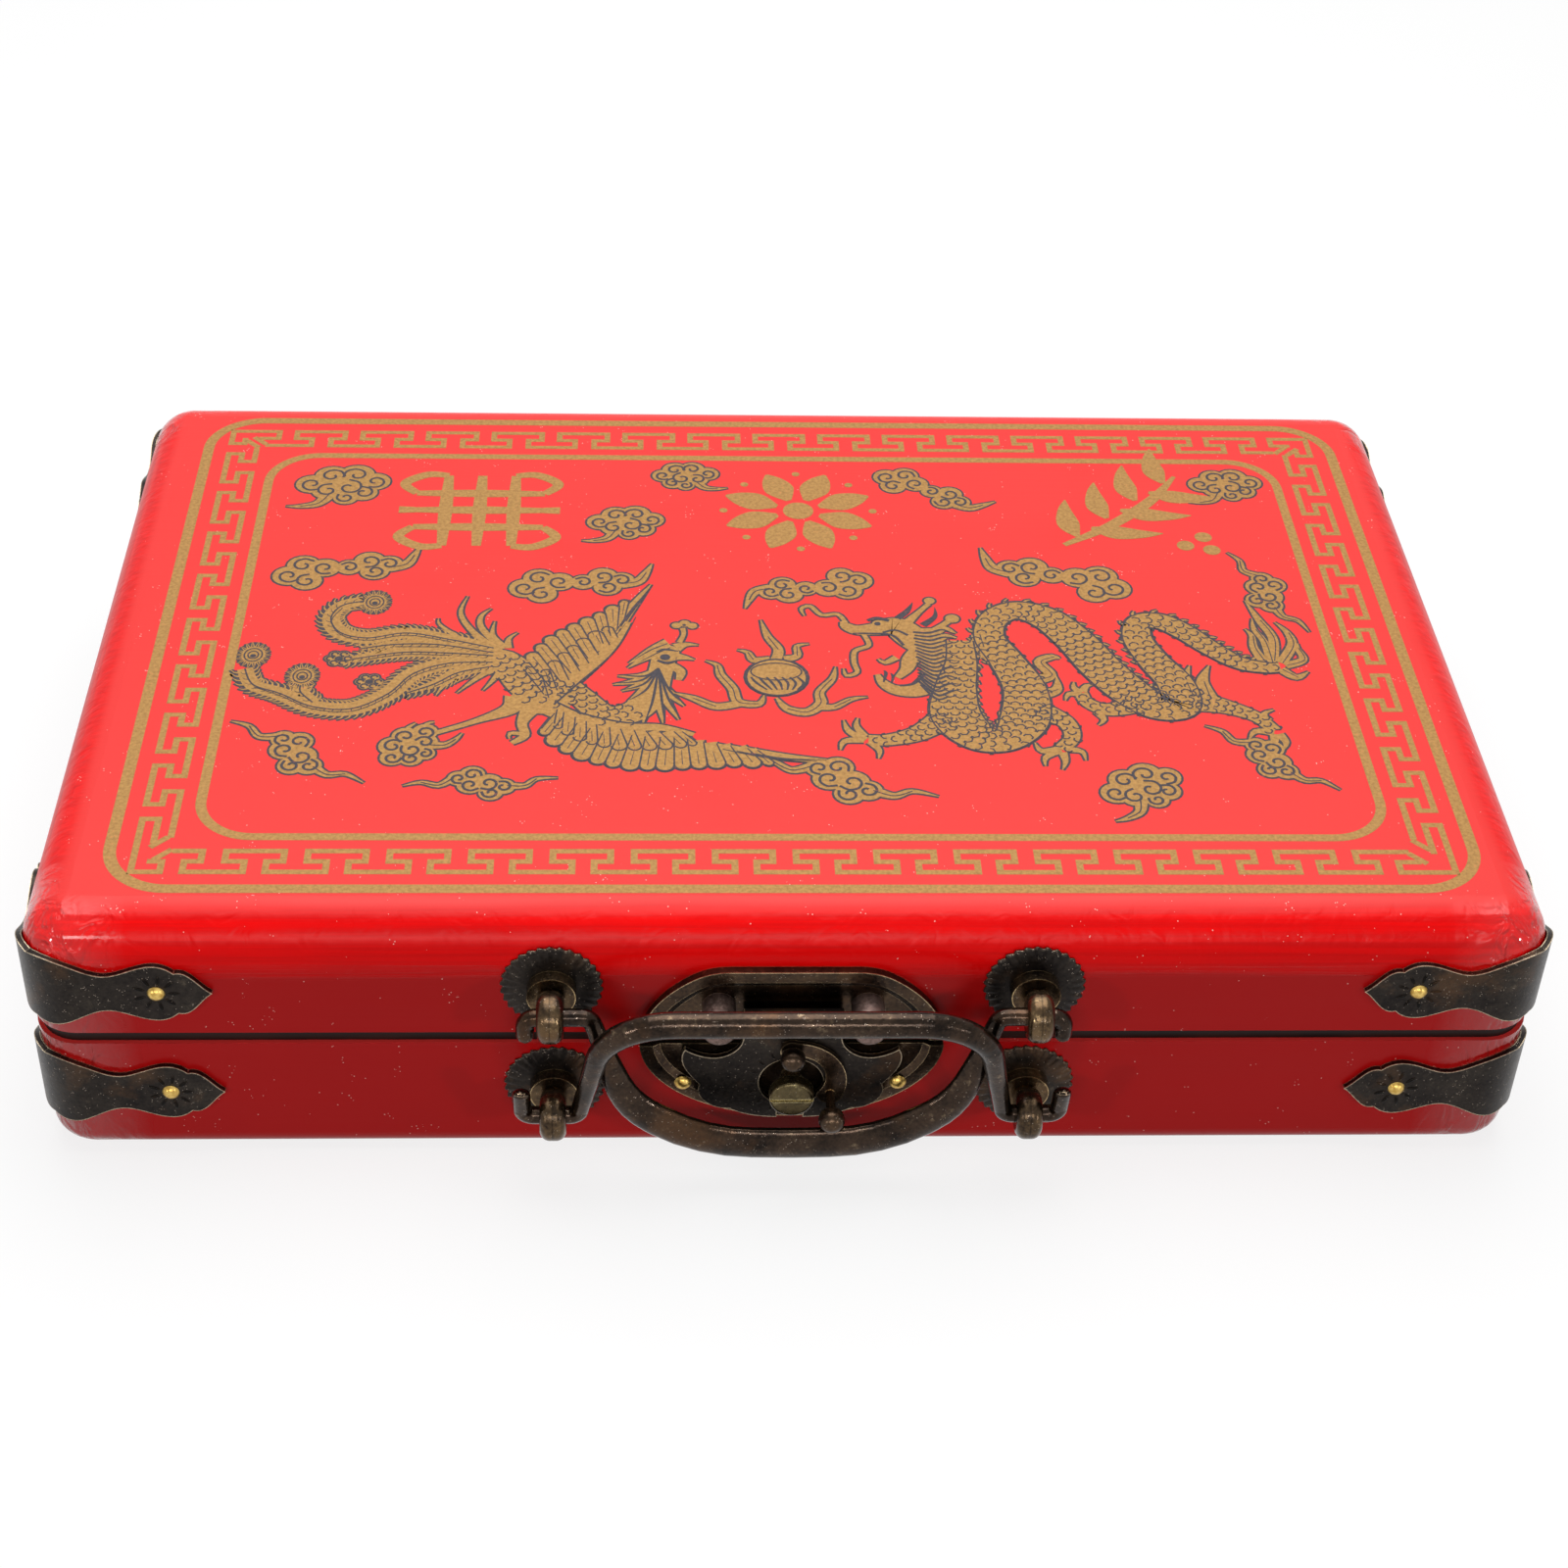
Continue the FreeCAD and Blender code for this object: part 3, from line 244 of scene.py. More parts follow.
# dark cast metal: fine pale specks, small rubbed patches and thin bright edges
def makeBronze(name, grooveAt=None):
    dark, light, worn = (paint(*bronzeLooks[name][shade]) for shade in ("dark", "light", "worn"))
    wornShare, gloss, grain = (bronzeLooks[name][part] for part in ("wornShare", "gloss", "grain"))
    material, tree, shader = startMaterial(name, Metallic=0.88, Specular_IOR_Level=0.3)
    blotches = noise(tree, 150, 5, 0.6)
    fine = noise(tree, 1500, 4, 0.65)
    colour = ramp(tree, calc(tree, "MULTIPLY_ADD", minus(tree, fine, 0.5), 0.7, blotches),
                  [(0.28, dark), (0.74, light)])
    rust = times(tree, ramp(tree, noise(tree, 90, 4), [(0.55, 0), (0.68, 1)]), 0.55)
    colour = mixColours(tree, rust, colour, mixColours(tree, fine, light, paint(104, 70, 40)))
    rub = ramp(tree, noise(tree, 700, 5, 0.7), [(0.56, 0), (0.70, 1)])
    rubbed = times(tree, rub, ramp(tree, blotches, [(0.5, 0), (0.66, 1)]))
    colour = mixColours(tree, times(tree, rubbed, wornShare), colour, worn)
    dots = calc(tree, "LESS_THAN", cells(tree, 2600), 0.2)
    rare = ramp(tree, noise(tree, 900, 1), [(0.56, 0), (0.62, 1)])
    colour = mixColours(tree, times(tree, times(tree, dots, rare), 0.6), colour, paint(190, 174, 158))
    edges = edgeWear(tree, 0.00034, 0.012, 0.08)
    broken = times(tree, edges, ramp(tree, fine, [(0.3, 0.35), (0.55, 1)]))
    colour = mixColours(tree, times(tree, broken, 0.9), colour, worn)
    normal = bump(tree, fine, 0.3, 0.00012)
    if grooveAt is not None:
        across = calc(tree, "ABSOLUTE", splitVector(tree, objectCoords(tree))[0])
        beside = calc(tree, "ABSOLUTE", minus(tree, across, grooveAt))
        grooveAndShade = ramp(tree, times(tree, beside, 1000), [(0.04, 1), (0.2, 0)])
        # painted shade: the shallow bump groove down the eye's middle is darkened where shade would fall in
        # it
        colour = mixColours(tree, times(tree, grooveAndShade, 0.5), colour, paint(20, 16, 14))
        normal = bump(tree, grooveAndShade, -0.5, 0.0003, normal)
    wire(tree, shader, Base_Color=colour)
    rough = minus(tree, calc(tree, "MULTIPLY_ADD", fine, grain, gloss), times(tree, broken, 0.08))
    wire(tree, shader, Roughness=rough)
    wire(tree, shader, Normal=bump(tree, blotches, 0.25, 0.0003, normal))
    return material


def makeBrass():
    material, tree, shader = startMaterial("bright_brass", Metallic=1.0)
    fine = noise(tree, 1400, 3)
    wire(tree, shader, Base_Color=ramp(tree, fine, [(0.3, paint(168, 132, 62)), (0.7, paint(224, 192, 112))]))
    wire(tree, shader, Roughness=calc(tree, "MULTIPLY_ADD", fine, 0.25, 0.2))
    wire(tree, shader, Normal=bump(tree, fine, 0.12, 0.0001))
    return material


def makeWood(name, pale, dark, along):
    material, tree, shader = startMaterial(name, Specular_IOR_Level=0.35)
    stretch = [90, 90, 90]
    stretch[along] = 5
    rings = noise(tree, 1.0, 6, 0.6, 0.6, objectCoords(tree, stretch))
    fibre = [900, 900, 900]
    fibre[along] = 22
    threads = noise(tree, 1.0, 3, coords=objectCoords(tree, fibre))
    colour = ramp(tree, rings, [(0.3, dark), (0.68, pale)])
    colour = mixColours(tree, times(tree, ramp(tree, threads, [(0.5, 0), (0.7, 1)]), 0.35), colour, dark)
    wire(tree, shader, Base_Color=colour)
    wire(tree, shader, Roughness=calc(tree, "MULTIPLY_ADD", threads, 0.2, 0.45))
    wire(tree, shader, Normal=bump(tree, threads, 0.25, 0.0002))
    return material


def makeFelt():
    material, tree, shader = startMaterial("felt", Specular_IOR_Level=0.1, Roughness=0.95, Sheen_Weight=0.5,
                                           Sheen_Roughness=0.6, Sheen_Tint=paint(206, 150, 150))
    hairs = noise(tree, 1300, 6, 0.75, 1.4)
    worn = noise(tree, 30, 3)
    colour = ramp(tree, hairs, [(0.3, paint(104, 14, 20)), (0.72, paint(166, 38, 46))])
    colour = mixColours(tree, times(tree, worn, 0.3), colour, paint(128, 26, 32))
    wire(tree, shader, Base_Color=colour)
    wire(tree, shader, Normal=bump(tree, hairs, 0.7, 0.0004))
    return material


def makeRibbon():
    material, tree, shader = startMaterial("ribbon", Sheen_Weight=0.4, Roughness=0.5)
    weave = makeNode(tree, "TexWave", Vector=objectCoords(tree), Scale=900, Distortion=0.6)
    colour = ramp(tree, weave.outputs["Fac"], [(0.1, paint(170, 128, 62)), (0.9, paint(226, 190, 112))])
    wire(tree, shader, Base_Color=colour, Normal=bump(tree, weave.outputs["Fac"], 0.5, 0.0002))
    return material


# screen-printed ink: grainy, with pinholes where the red shows
def makeInk(name, body, pale, metal, roughness):
    material, tree, shader = startMaterial(name, Metallic=metal, Specular_IOR_Level=0.3)
    grain = noise(tree, 1500, 3, 0.6)
    patches = noise(tree, 90, 3)
    colour = ramp(tree, grain, [(0.32, body), (0.7, pale)])
    thin = times(tree, ramp(tree, grain, [(0.6, 0), (0.68, 1)]), ramp(tree, patches, [(0.4, 0), (0.6, 0.6)]))
    colour = mixColours(tree, times(tree, thin, 0.5), colour, paint(214, 84, 60))
    wire(tree, shader, Base_Color=colour)
    wire(tree, shader, Roughness=calc(tree, "MULTIPLY_ADD", grain, 0.2, roughness))
    wire(tree, shader, Normal=bump(tree, grain, 0.2, 0.00006))
    return material


redCovering = makeRedCovering()
lacquer = makeLacquer()
eyeMiddle = sum(corner.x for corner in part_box("lid_right_handle_eye")) / 2
bronze = makeBronze("aged_bronze")
plateBronze = makeBronze("plate_bronze")
handleBronze = makeBronze("handle_bronze")
eyeBronze = makeBronze("eye_bronze", eyeMiddle)
postBronze = makeBronze("post_bronze")
punchShade = makeBronze("punch_shade")
brass = makeBrass()
studBrass = makeBronze("stud_brass")
caseWood = makeWood("case_wood", paint(196, 160, 112), paint(150, 112, 70), 0)
trayWood = makeWood("tray_wood", paint(206, 172, 124), paint(164, 124, 80), 1)
felt = makeFelt()
ribbonSilk = makeRibbon()
goldInk = makeInk("gold_ink", paint(148, 107, 52), paint(182, 139, 76), 0.2, 0.42)
darkInk = makeInk("dark_ink", paint(44, 42, 50), paint(70, 62, 68), 0.0, 0.5)
print("materials made")


nodeFinishes = {
    "covering": redCovering, "panel": caseWood, "rail": caseWood, "rim": lacquer, "tray": trayWood,
    "band": bronze, "band_nails": brass, "rosette": bronze, "handle_eye": eyeBronze, "handle": handleBronze,
    "lock_plate": plateBronze, "nails": brass, "posts": postBronze, "pin": bronze, "hasp": bronze,
    "stud": studBrass, "latch": plateBronze, "pivot": plateBronze, "leaves": bronze, "screws": plateBronze,
    "pins": bronze,
}
for nodeName in nodes:
    for ending in sorted(nodeFinishes, key=len, reverse=True):
        if nodeName.endswith(ending):
            nodes[nodeName].data.materials.clear()
            nodes[nodeName].data.materials.append(nodeFinishes[ending])
            break
print("node finishes set")


def addPiece(name, mesh, materials, body, replaced=()):
    piece = bpy.data.objects.new(name, mesh)
    bpy.context.collection.objects.link(piece)
    for material in materials:
        mesh.materials.append(material)
    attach(piece, body)
    if replaced:
        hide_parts(*replaced)
    return piece


def meshFrom(bm, name, smooth=True):
    mesh = bpy.data.meshes.new(name)
    bm.normal_update()
    bm.to_mesh(mesh)
    bm.free()
    if smooth:
        mesh.shade_smooth()
    return mesh


# points every step or so on a smooth line through the given ones, each with its half width
def smoothLine(points, step=0.7):
    ends = [points[0]] + list(points) + [points[-1]]
    line = []
    for i in range(1, len(ends) - 2):
        a, b, c, d = (Vector(p) for p in ends[i - 1:i + 3])
        pieces = max(2, round((c - b).length / step))
        for k in range(pieces):
            t = k / pieces
            line.append(0.5 * ((2 * b) + (c - a) * t + (2 * a - 5 * b + 4 * c - d) * t * t
                               + (3 * b - a - 3 * c + d) * t ** 3))
    line.append(Vector(points[-1]))
    return line


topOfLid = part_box("lid_covering")[1].z
layerStep = 2.5e-7   # overlapping strokes of one ink lie this far apart
layerSteps = 64
inkRise = {"under": 0.010, "gold": 0.034, "lines": 0.058, "border": 0.02}   # heights over the covering


# flat brush strokes at one height; every stroke is a list of (x, y, half width) in millimetres
def strokesMesh(strokes, height, widen):
    curve = bpy.data.curves.new("strokes", "CURVE")
    curve.dimensions = "3D"
    curve.twist_mode = "Z_UP"
    curve.extrude = mm
    for index, stroke in enumerate(strokes):
        spline = curve.splines.new("POLY")
        spline.points.add(len(stroke) - 1)
        for point, (x, y, half) in zip(spline.points, stroke):
            point.co = (x * mm, y * mm, height + (index % layerSteps) * layerStep, 1)
            point.radius = max(half, 0.02) + widen
            point.tilt = math.pi / 2
    holder = bpy.data.objects.new("holder", curve)
    mesh = bpy.data.meshes.new_from_object(holder)
    bpy.data.objects.remove(holder)
    bpy.data.curves.remove(curve)
    return mesh


# one printed figure: gold strokes and spots over a dark edge, with dark lines on top
class Print:
    def __init__(self, name, edge=0.42):
        self.name = name
        self.edge = edge
        self.gold = []
        self.dark = []
        self.spots = []
        self.darkSpots = []

    def brush(self, *points):
        self.gold.append(smoothLine(points))

    def line(self, *points):
        self.dark.append(smoothLine(points, 0.5))

    def spot(self, x, y, radius):
        self.spots.append((x, y, radius))

    def darkSpot(self, x, y, radius):
        self.darkSpots.append((x, y, radius))

    def build(self):
        bm = bmesh.new()
        layers = [(self.gold, self.spots, inkRise["under"], self.edge, 0),
                  (self.gold, self.spots, inkRise["gold"], 0.0, 1),
                  (self.dark, self.darkSpots, inkRise["lines"], 0.0, 0)]
        if self.edge == 0:
            layers = layers[1:]
        for strokes, spots, rise, widen, material in layers:
            before = set(bm.faces)
            height = topOfLid + rise * mm
            if strokes:
                mesh = strokesMesh(strokes, height, widen)
                bm.from_mesh(mesh)
                bpy.data.meshes.remove(mesh)
            for index, (x, y, radius) in enumerate(spots):
                z = height + ((index + 0.5) % layerSteps) * layerStep
                bmesh.ops.create_circle(bm, cap_ends=True, segments=20, radius=(radius + widen) * mm,
                                        matrix=Matrix.Translation((x * mm, y * mm, z)))
            for face in set(bm.faces) - before:
                face.material_index = material
        bm.normal_update()
        bmesh.ops.reverse_faces(bm, faces=[face for face in bm.faces if face.normal.z < 0])
        addPiece(self.name, meshFrom(bm, self.name, False), [darkInk, goldInk], "lid")


scaleLook = {"margin": 0.25, "spacing": 1.15, "deep": 0.52, "wide": 0.56, "line": 0.16}


# rows of little U-shaped scales on a body; path is (x, y, half width)
def scalesAlong(figure, path, size, upTo=1.0):
    look = scaleLook
    line = smoothLine(path, 0.35)
    travelled, nextRow, count = 0.0, 0.0, 0
    total = sum((b - a).xy.length for a, b in zip(line, line[1:]))
    for a, b in zip(line, line[1:]):
        travelled += (b - a).xy.length
        if travelled < nextRow or travelled / total > upTo:
            continue
        nextRow = travelled + size
        count += 1
        along = (b - a).xy.normalized()
        across = Vector((-along.y, along.x))
        room = a.z - look["margin"]
        places = max(1, int(2 * room / (size * look["spacing"])))
        shift = 0.5 if count % 2 else 0.0
        for k in range(places + (0 if shift else 1)):
            offset = (k + shift - places / 2) * 2 * room / places
            if abs(offset) > room:
                continue
            centre = a.xy + across * offset
            arc = []
            for angle in (-105, -60, 0, 60, 105):
                turn = math.radians(angle)
                point = centre + along * math.cos(turn) * size * look["deep"]
                point += across * math.sin(turn) * size * look["wide"]
                arc.append((point.x, point.y, look["line"]))
            figure.dark.append(arc)


# little flames or barbs that stand on one side of a body
def fringeAlong(figure, path, length, spacing, side, lean=0.7, half=0.32, gold=True, start=0.0):
    line = smoothLine(path, 0.35)
    travelled, nextOne = 0.0, start
    for a, b in zip(line, line[1:]):
        travelled += (b - a).xy.length
        if travelled < nextOne:
            continue
        nextOne = travelled + spacing
        along = (b - a).xy.normalized()
        out = Vector((-along.y, along.x)) * side
        root = a.xy + out * (a.z * 0.8)
        middle = root + out * length * 0.6 + along * lean * length * 0.3
        tip = root + out * length * 0.9 + along * lean * length
        stroke = [(root.x, root.y, half), (middle.x, middle.y, half * 0.7), (tip.x, tip.y, 0.05)]
        (figure.gold if gold else figure.dark).append(smoothLine(stroke, 0.5))


border = {"middleX": 1.2, "middleY": 0.0, "halfX": 113.2, "halfY": 72.9, "outerLine": 2.1, "innerLine": 1.8,
          "innerInset": 12.3, "outerCorner": 11.5, "innerCorner": 10.5, "keyStroke": 1.15, "keyTop": 4.2,
          "keyBottom": 9.5, "hookShare": 0.24, "upperEnd": 0.71, "lowerStart": 0.51,
          "sides": [{"count": 16, "runs": (4.7, 9.2), "gaps": (0.2, 2.1)},
                    {"count": 9, "runs": (12.4, 6.5), "gaps": (2.7, 1.5)},
                    {"count": 16, "runs": (7.4, 9.2), "gaps": (1.5, 2.1)},
                    {"count": 9, "runs": (4.7, 13.6), "gaps": (0.5, 4.0)}]}


# flat ring between two rounded rectangles
def roundedFrame(bm, halfX, halfY, corner, width, height):
    start = set(bm.faces)
    bmesh.ops.create_grid(bm, x_segments=1, y_segments=1, size=0.5,
                          matrix=Matrix.Translation((border["middleX"] * mm, border["middleY"] * mm, height))
                          @ Matrix.Diagonal((2 * halfX * mm, 2 * halfY * mm, 1, 1)))
    face = (set(bm.faces) - start).pop()
    bmesh.ops.bevel(bm, geom=list(face.verts), offset=corner * mm, affect="VERTICES", segments=14,
                    profile=0.5, material=-1)
    face = max(set(bm.faces) - start, key=lambda one: one.calc_area())
    bmesh.ops.inset_region(bm, faces=[face], thickness=width * mm, use_even_offset=True, use_boundary=True)
    bmesh.ops.delete(bm, geom=[face], context="FACES")


# flat square-ended bar between two points
def bar(bm, ax, ay, bx, by, width, height):
    a, b = Vector((ax, ay)), Vector((bx, by))
    ahead = (b - a).normalized() * width / 2
    a, b = a + ahead, b + ahead   # the bar before this one already covers the corner
    middle = (a + b) / 2
    place = Matrix.Translation((middle.x * mm, middle.y * mm, height))
    turn = Matrix.Rotation(math.atan2(b.y - a.y, b.x - a.x), 4, "Z")
    bmesh.ops.create_grid(bm, x_segments=1, y_segments=1, size=0.5,
                          matrix=place @ turn @ Matrix.Diagonal(((b - a).length * mm, width * mm, 1, 1)))


# key fret between two corners; its end strokes run on to the corners' diagonals
def keyLine(bm, start, along, inwards, length, side, height):
    low, high = border["keyBottom"], border["keyTop"]
    middle = (low + high) / 2
    firstRun, lastRun = side["runs"]
    period = (length - firstRun - lastRun) / (side["count"] - 1 - border["hookShare"] + border["lowerStart"])
    path = [(0.0, high), (firstRun, high), (firstRun, middle)]
    for k in range(side["count"]):
        origin = firstRun + (k - border["hookShare"]) * period
        opening = origin if k else 0.0
        closing = origin + border["upperEnd"] * period if k < side["count"] - 1 else length
        path += [(opening, middle), (opening, low), (closing, low), (closing, middle),
                 (origin + border["lowerStart"] * period, middle),
                 (origin + border["lowerStart"] * period, high)]
        if k < side["count"] - 1:
            turnBack = origin + (1 + border["hookShare"]) * period
            path += [(turnBack, high), (turnBack, middle)]
    path.append((length, high))

    def held(s, d):
        if d == high:
            return s
        return min(max(s, d - high + side["gaps"][0]), length - (d - high) - side["gaps"][1])

    for i, ((s0, d0), (s1, d1)) in enumerate(zip(path, path[1:])):
        a = start + along * held(s0, d0) + inwards * d0
        b = start + along * held(s1, d1) + inwards * d1
        if (b - a).length > 0.2:
            bar(bm, a.x, a.y, b.x, b.y, border["keyStroke"], height + (i % 8) * layerStep)


def makeBorder():
    bm = bmesh.new()
    height = topOfLid + inkRise["border"] * mm
    roundedFrame(bm, border["halfX"] + border["outerLine"] / 2, border["halfY"] + border["outerLine"] / 2,
                 border["outerCorner"], border["outerLine"], height)
    inset = border["innerInset"]
    roundedFrame(bm, border["halfX"] - inset, border["halfY"] - inset, border["innerCorner"],
                 border["innerLine"], height)
    x, y = border["halfX"], border["halfY"]
    outer = border["keyTop"]
    centre = Vector((border["middleX"], border["middleY"]))
    for turn, side in zip((0, 90, 180, 270), border["sides"]):
        ahead, out = (x, y) if turn % 180 == 0 else (y, x)
        along = Matrix.Rotation(math.radians(turn), 2) @ Vector((1, 0))
        inwards = Matrix.Rotation(math.radians(turn), 2) @ Vector((0, 1))
        start = centre - along * (ahead - outer) - inwards * out
        keyLine(bm, start, along, inwards, 2 * (ahead - outer), side, height)
    bm.normal_update()
    bmesh.ops.reverse_faces(bm, faces=[face for face in bm.faces if face.normal.z < 0])
    addPiece("print_border", meshFrom(bm, "print_border", False), [goldInk], "lid")


makeBorder()

cloudShapes = {
    "round": {"lobes": [(-3.4, 0.0, 1.7), (-1.4, 1.7, 1.8), (1.2, 1.9, 1.9), (3.3, 0.6, 1.6),
                        (0.6, -0.6, 2.0), (-1.6, -1.2, 1.7), (2.2, -1.6, 1.5), (0.4, -2.6, 1.3)],
              "tails": [[(-1.4, -2.0, 1.0), (-2.4, -3.8, 0.7), (-4.2, -4.4, 0.4), (-5.8, -4.4, 0.05)]]},
    "long": {"lobes": [(-6.0, -0.6, 1.7), (-4.4, 1.2, 1.7), (-2.2, 0.4, 1.6), (-4.2, -1.8, 1.6),
                       (0.4, 0.2, 1.3), (2.6, 1.1, 1.6), (4.6, 0.3, 1.4), (3.0, -0.9, 1.5)],
             "tails": [[(4.6, -0.4, 1.0), (6.4, 0.0, 0.8), (7.4, 1.6, 0.5), (8.2, 3.4, 0.05)]]},
    "trail": {"lobes": [(-2.8, 1.9, 1.5), (-0.8, 2.0, 1.7), (-1.8, 0.0, 1.8), (0.6, -0.6, 1.9),
                        (2.2, -2.0, 1.6), (0.2, -2.6, 1.6)],
              "tails": [[(-3.6, 2.2, 0.8), (-5.8, 1.5, 0.6), (-7.8, 3.0, 0.4), (-10.4, 3.2, 0.05)],
                        [(2.8, -2.0, 0.9), (5.0, -2.9, 0.6), (7.0, -2.1, 0.4), (9.8, -3.0, 0.05)]]},
}
cloudLook = {"scale": 1.14, "lobe": 1.02, "tail": 0.8}
# shape, x, y, size, turn, mirrored
clouds = [("round", -84, 49, 1.6, 0, False), ("round", -17, 53, 1.15, 10, True),
          ("round", -28.5, 36, 1.3, 0, False), ("long", 31, 48, 1.35, -38, False),
          ("round", 91, 51, 1.3, 0, False), ("long", -81, 19.5, 1.55, 8, False),
          ("long", -37, 15, 1.5, 4, False), ("long", 6, 14, 1.4, 188, False),
          ("long", 53, 18, 1.65, -14, True), ("trail", 93, 13, 1.2, -50, False),
          ("trail", -84, -37, 1.25, -18, False), ("round", -65, -35, 1.15, 60, True),
          ("trail", -52, -45, 1.1, 22, False), ("trail", 10, -44, 1.4, 0, False),
          ("round", 61, -46, 1.35, 20, False), ("trail", 85, -38, 1.15, -24, False)]


def drawCloud(figure, kind, x, y, size, turn, mirrored):
    angle = math.radians(turn)
    size *= cloudLook["scale"]

    def place(px, py):
        if mirrored:
            px = -px
        return (x + size * (px * math.cos(angle) - py * math.sin(angle)),
                y + size * (px * math.sin(angle) + py * math.cos(angle)))

    shape = cloudShapes[kind]
    for px, py, radius in shape["lobes"]:
        figure.spot(*place(px, py), radius * size * cloudLook["lobe"])
    for tail in shape["tails"]:
        figure.brush(*[place(px, py) + (half * size * cloudLook["tail"],) for px, py, half in tail])
        figure.line(*[place(px, py) + (0.12,) for px, py, half in tail[:-1]])
    middle = Vector([sum(values) / len(values) for values in zip(*shape["lobes"])])
    for index, (px, py, radius) in enumerate(shape["lobes"]):
        away = math.atan2(py - middle.y, px - middle.x)
        spin = -1 if index % 2 else 1
        curl = []
        for k in range(9):
            t = k / 8
            reach = radius * (0.78 - 0.62 * t)
            bend = away + math.pi * 0.75 * spin - spin * t * math.radians(400)
            curl.append(place(px + reach * math.cos(bend), py + reach * math.sin(bend)) + (0.25,))
        figure.line(*curl)


cloudPrint = Print("print_clouds")
for cloud in clouds:
    drawCloud(cloudPrint, *cloud)
cloudPrint.build()
print("border and clouds printed")


# three bold gold ornaments along the back: a knot, a flower and a leafy spray
def makeOrnaments():
    figure = Print("print_ornaments", 0)
    for cx, cy, kind in ((-57, 40, "knot"), (5, 40.5, "flower"), (71, 40, "spray")):
        if kind == "knot":
            for offset in (-6.0, 0.0, 6.0):
                figure.brush((cx - 12.5, cy + offset, 0.9), (cx, cy + offset, 1.35),
                             (cx + 12.5, cy + offset, 0.9))
                figure.brush((cx + offset * 1.1, cy - 12.5, 0.9), (cx + offset * 1.1, cy, 1.35),
                             (cx + offset * 1.1, cy + 12.5, 0.9))
            for sx in (-1, 1):
                for sy in (-1, 1):
                    figure.brush((cx + sx * 12.5, cy + sy * 6, 0.9), (cx + sx * 15.0, cy + sy * 9.5, 1.1),
                                 (cx + sx * 10.8, cy + sy * 12.8, 1.1), (cx + sx * 6.6, cy + sy * 12.5, 0.9))
                figure.brush((cx + sx * 12.5, cy, 1.0), (cx + sx * 15.6, cy, 1.2))
        elif kind == "flower":
            for k in range(8):
                turn = math.radians(45 * k + 22.5)
                side = Vector((math.cos(turn), math.sin(turn)))
                figure.brush((cx + side.x * 4.4, cy + side.y * 4.0, 0.6),
                             (cx + side.x * 8.6, cy + side.y * 8.0, 2.9),
                             (cx + side.x * 12.4, cy + side.y * 11.6, 2.2),
                             (cx + side.x * 15.2, cy + side.y * 14.2, 0.3))
            for k in range(8):
                turn = math.radians(45 * k)
                figure.spot(cx + 14.6 * math.cos(turn), cy + 13.4 * math.sin(turn), 0.8)
            figure.spot(cx, cy, 3.0)
        else:
            figure.brush((cx - 15, cy - 11, 0.6), (cx - 5, cy - 4, 1.2), (cx + 4, cy + 5, 1.2),
                         (cx + 10, cy + 14, 0.4))
            for t, side in ((0.12, 1), (0.24, -1), (0.38, 1), (0.5, -1), (0.64, 1), (0.76, -1), (0.9, 1)):
                px, py = cx - 15 + 25 * t, cy - 11 + 25 * t
                away = Vector((-0.7, 0.7)) * side
                ahead = Vector((0.75, 0.66))
                figure.brush((px, py, 0.5),
                             (px + away.x * 4 + ahead.x * 2, py + away.y * 4 + ahead.y * 2, 2.2),
                             (px + away.x * 8 + ahead.x * 5.4, py + away.y * 8 + ahead.y * 5.4, 1.4),
                             (px + away.x * 10.6 + ahead.x * 8.5, py + away.y * 10.6 + ahead.y * 8.5, 0.15))
            figure.spot(cx + 12.5, cy - 8, 1.7)
            figure.spot(cx + 8.6, cy - 11, 1.7)
            figure.spot(cx + 13.5, cy - 12.5, 1.7)
    figure.build()


makeOrnaments()


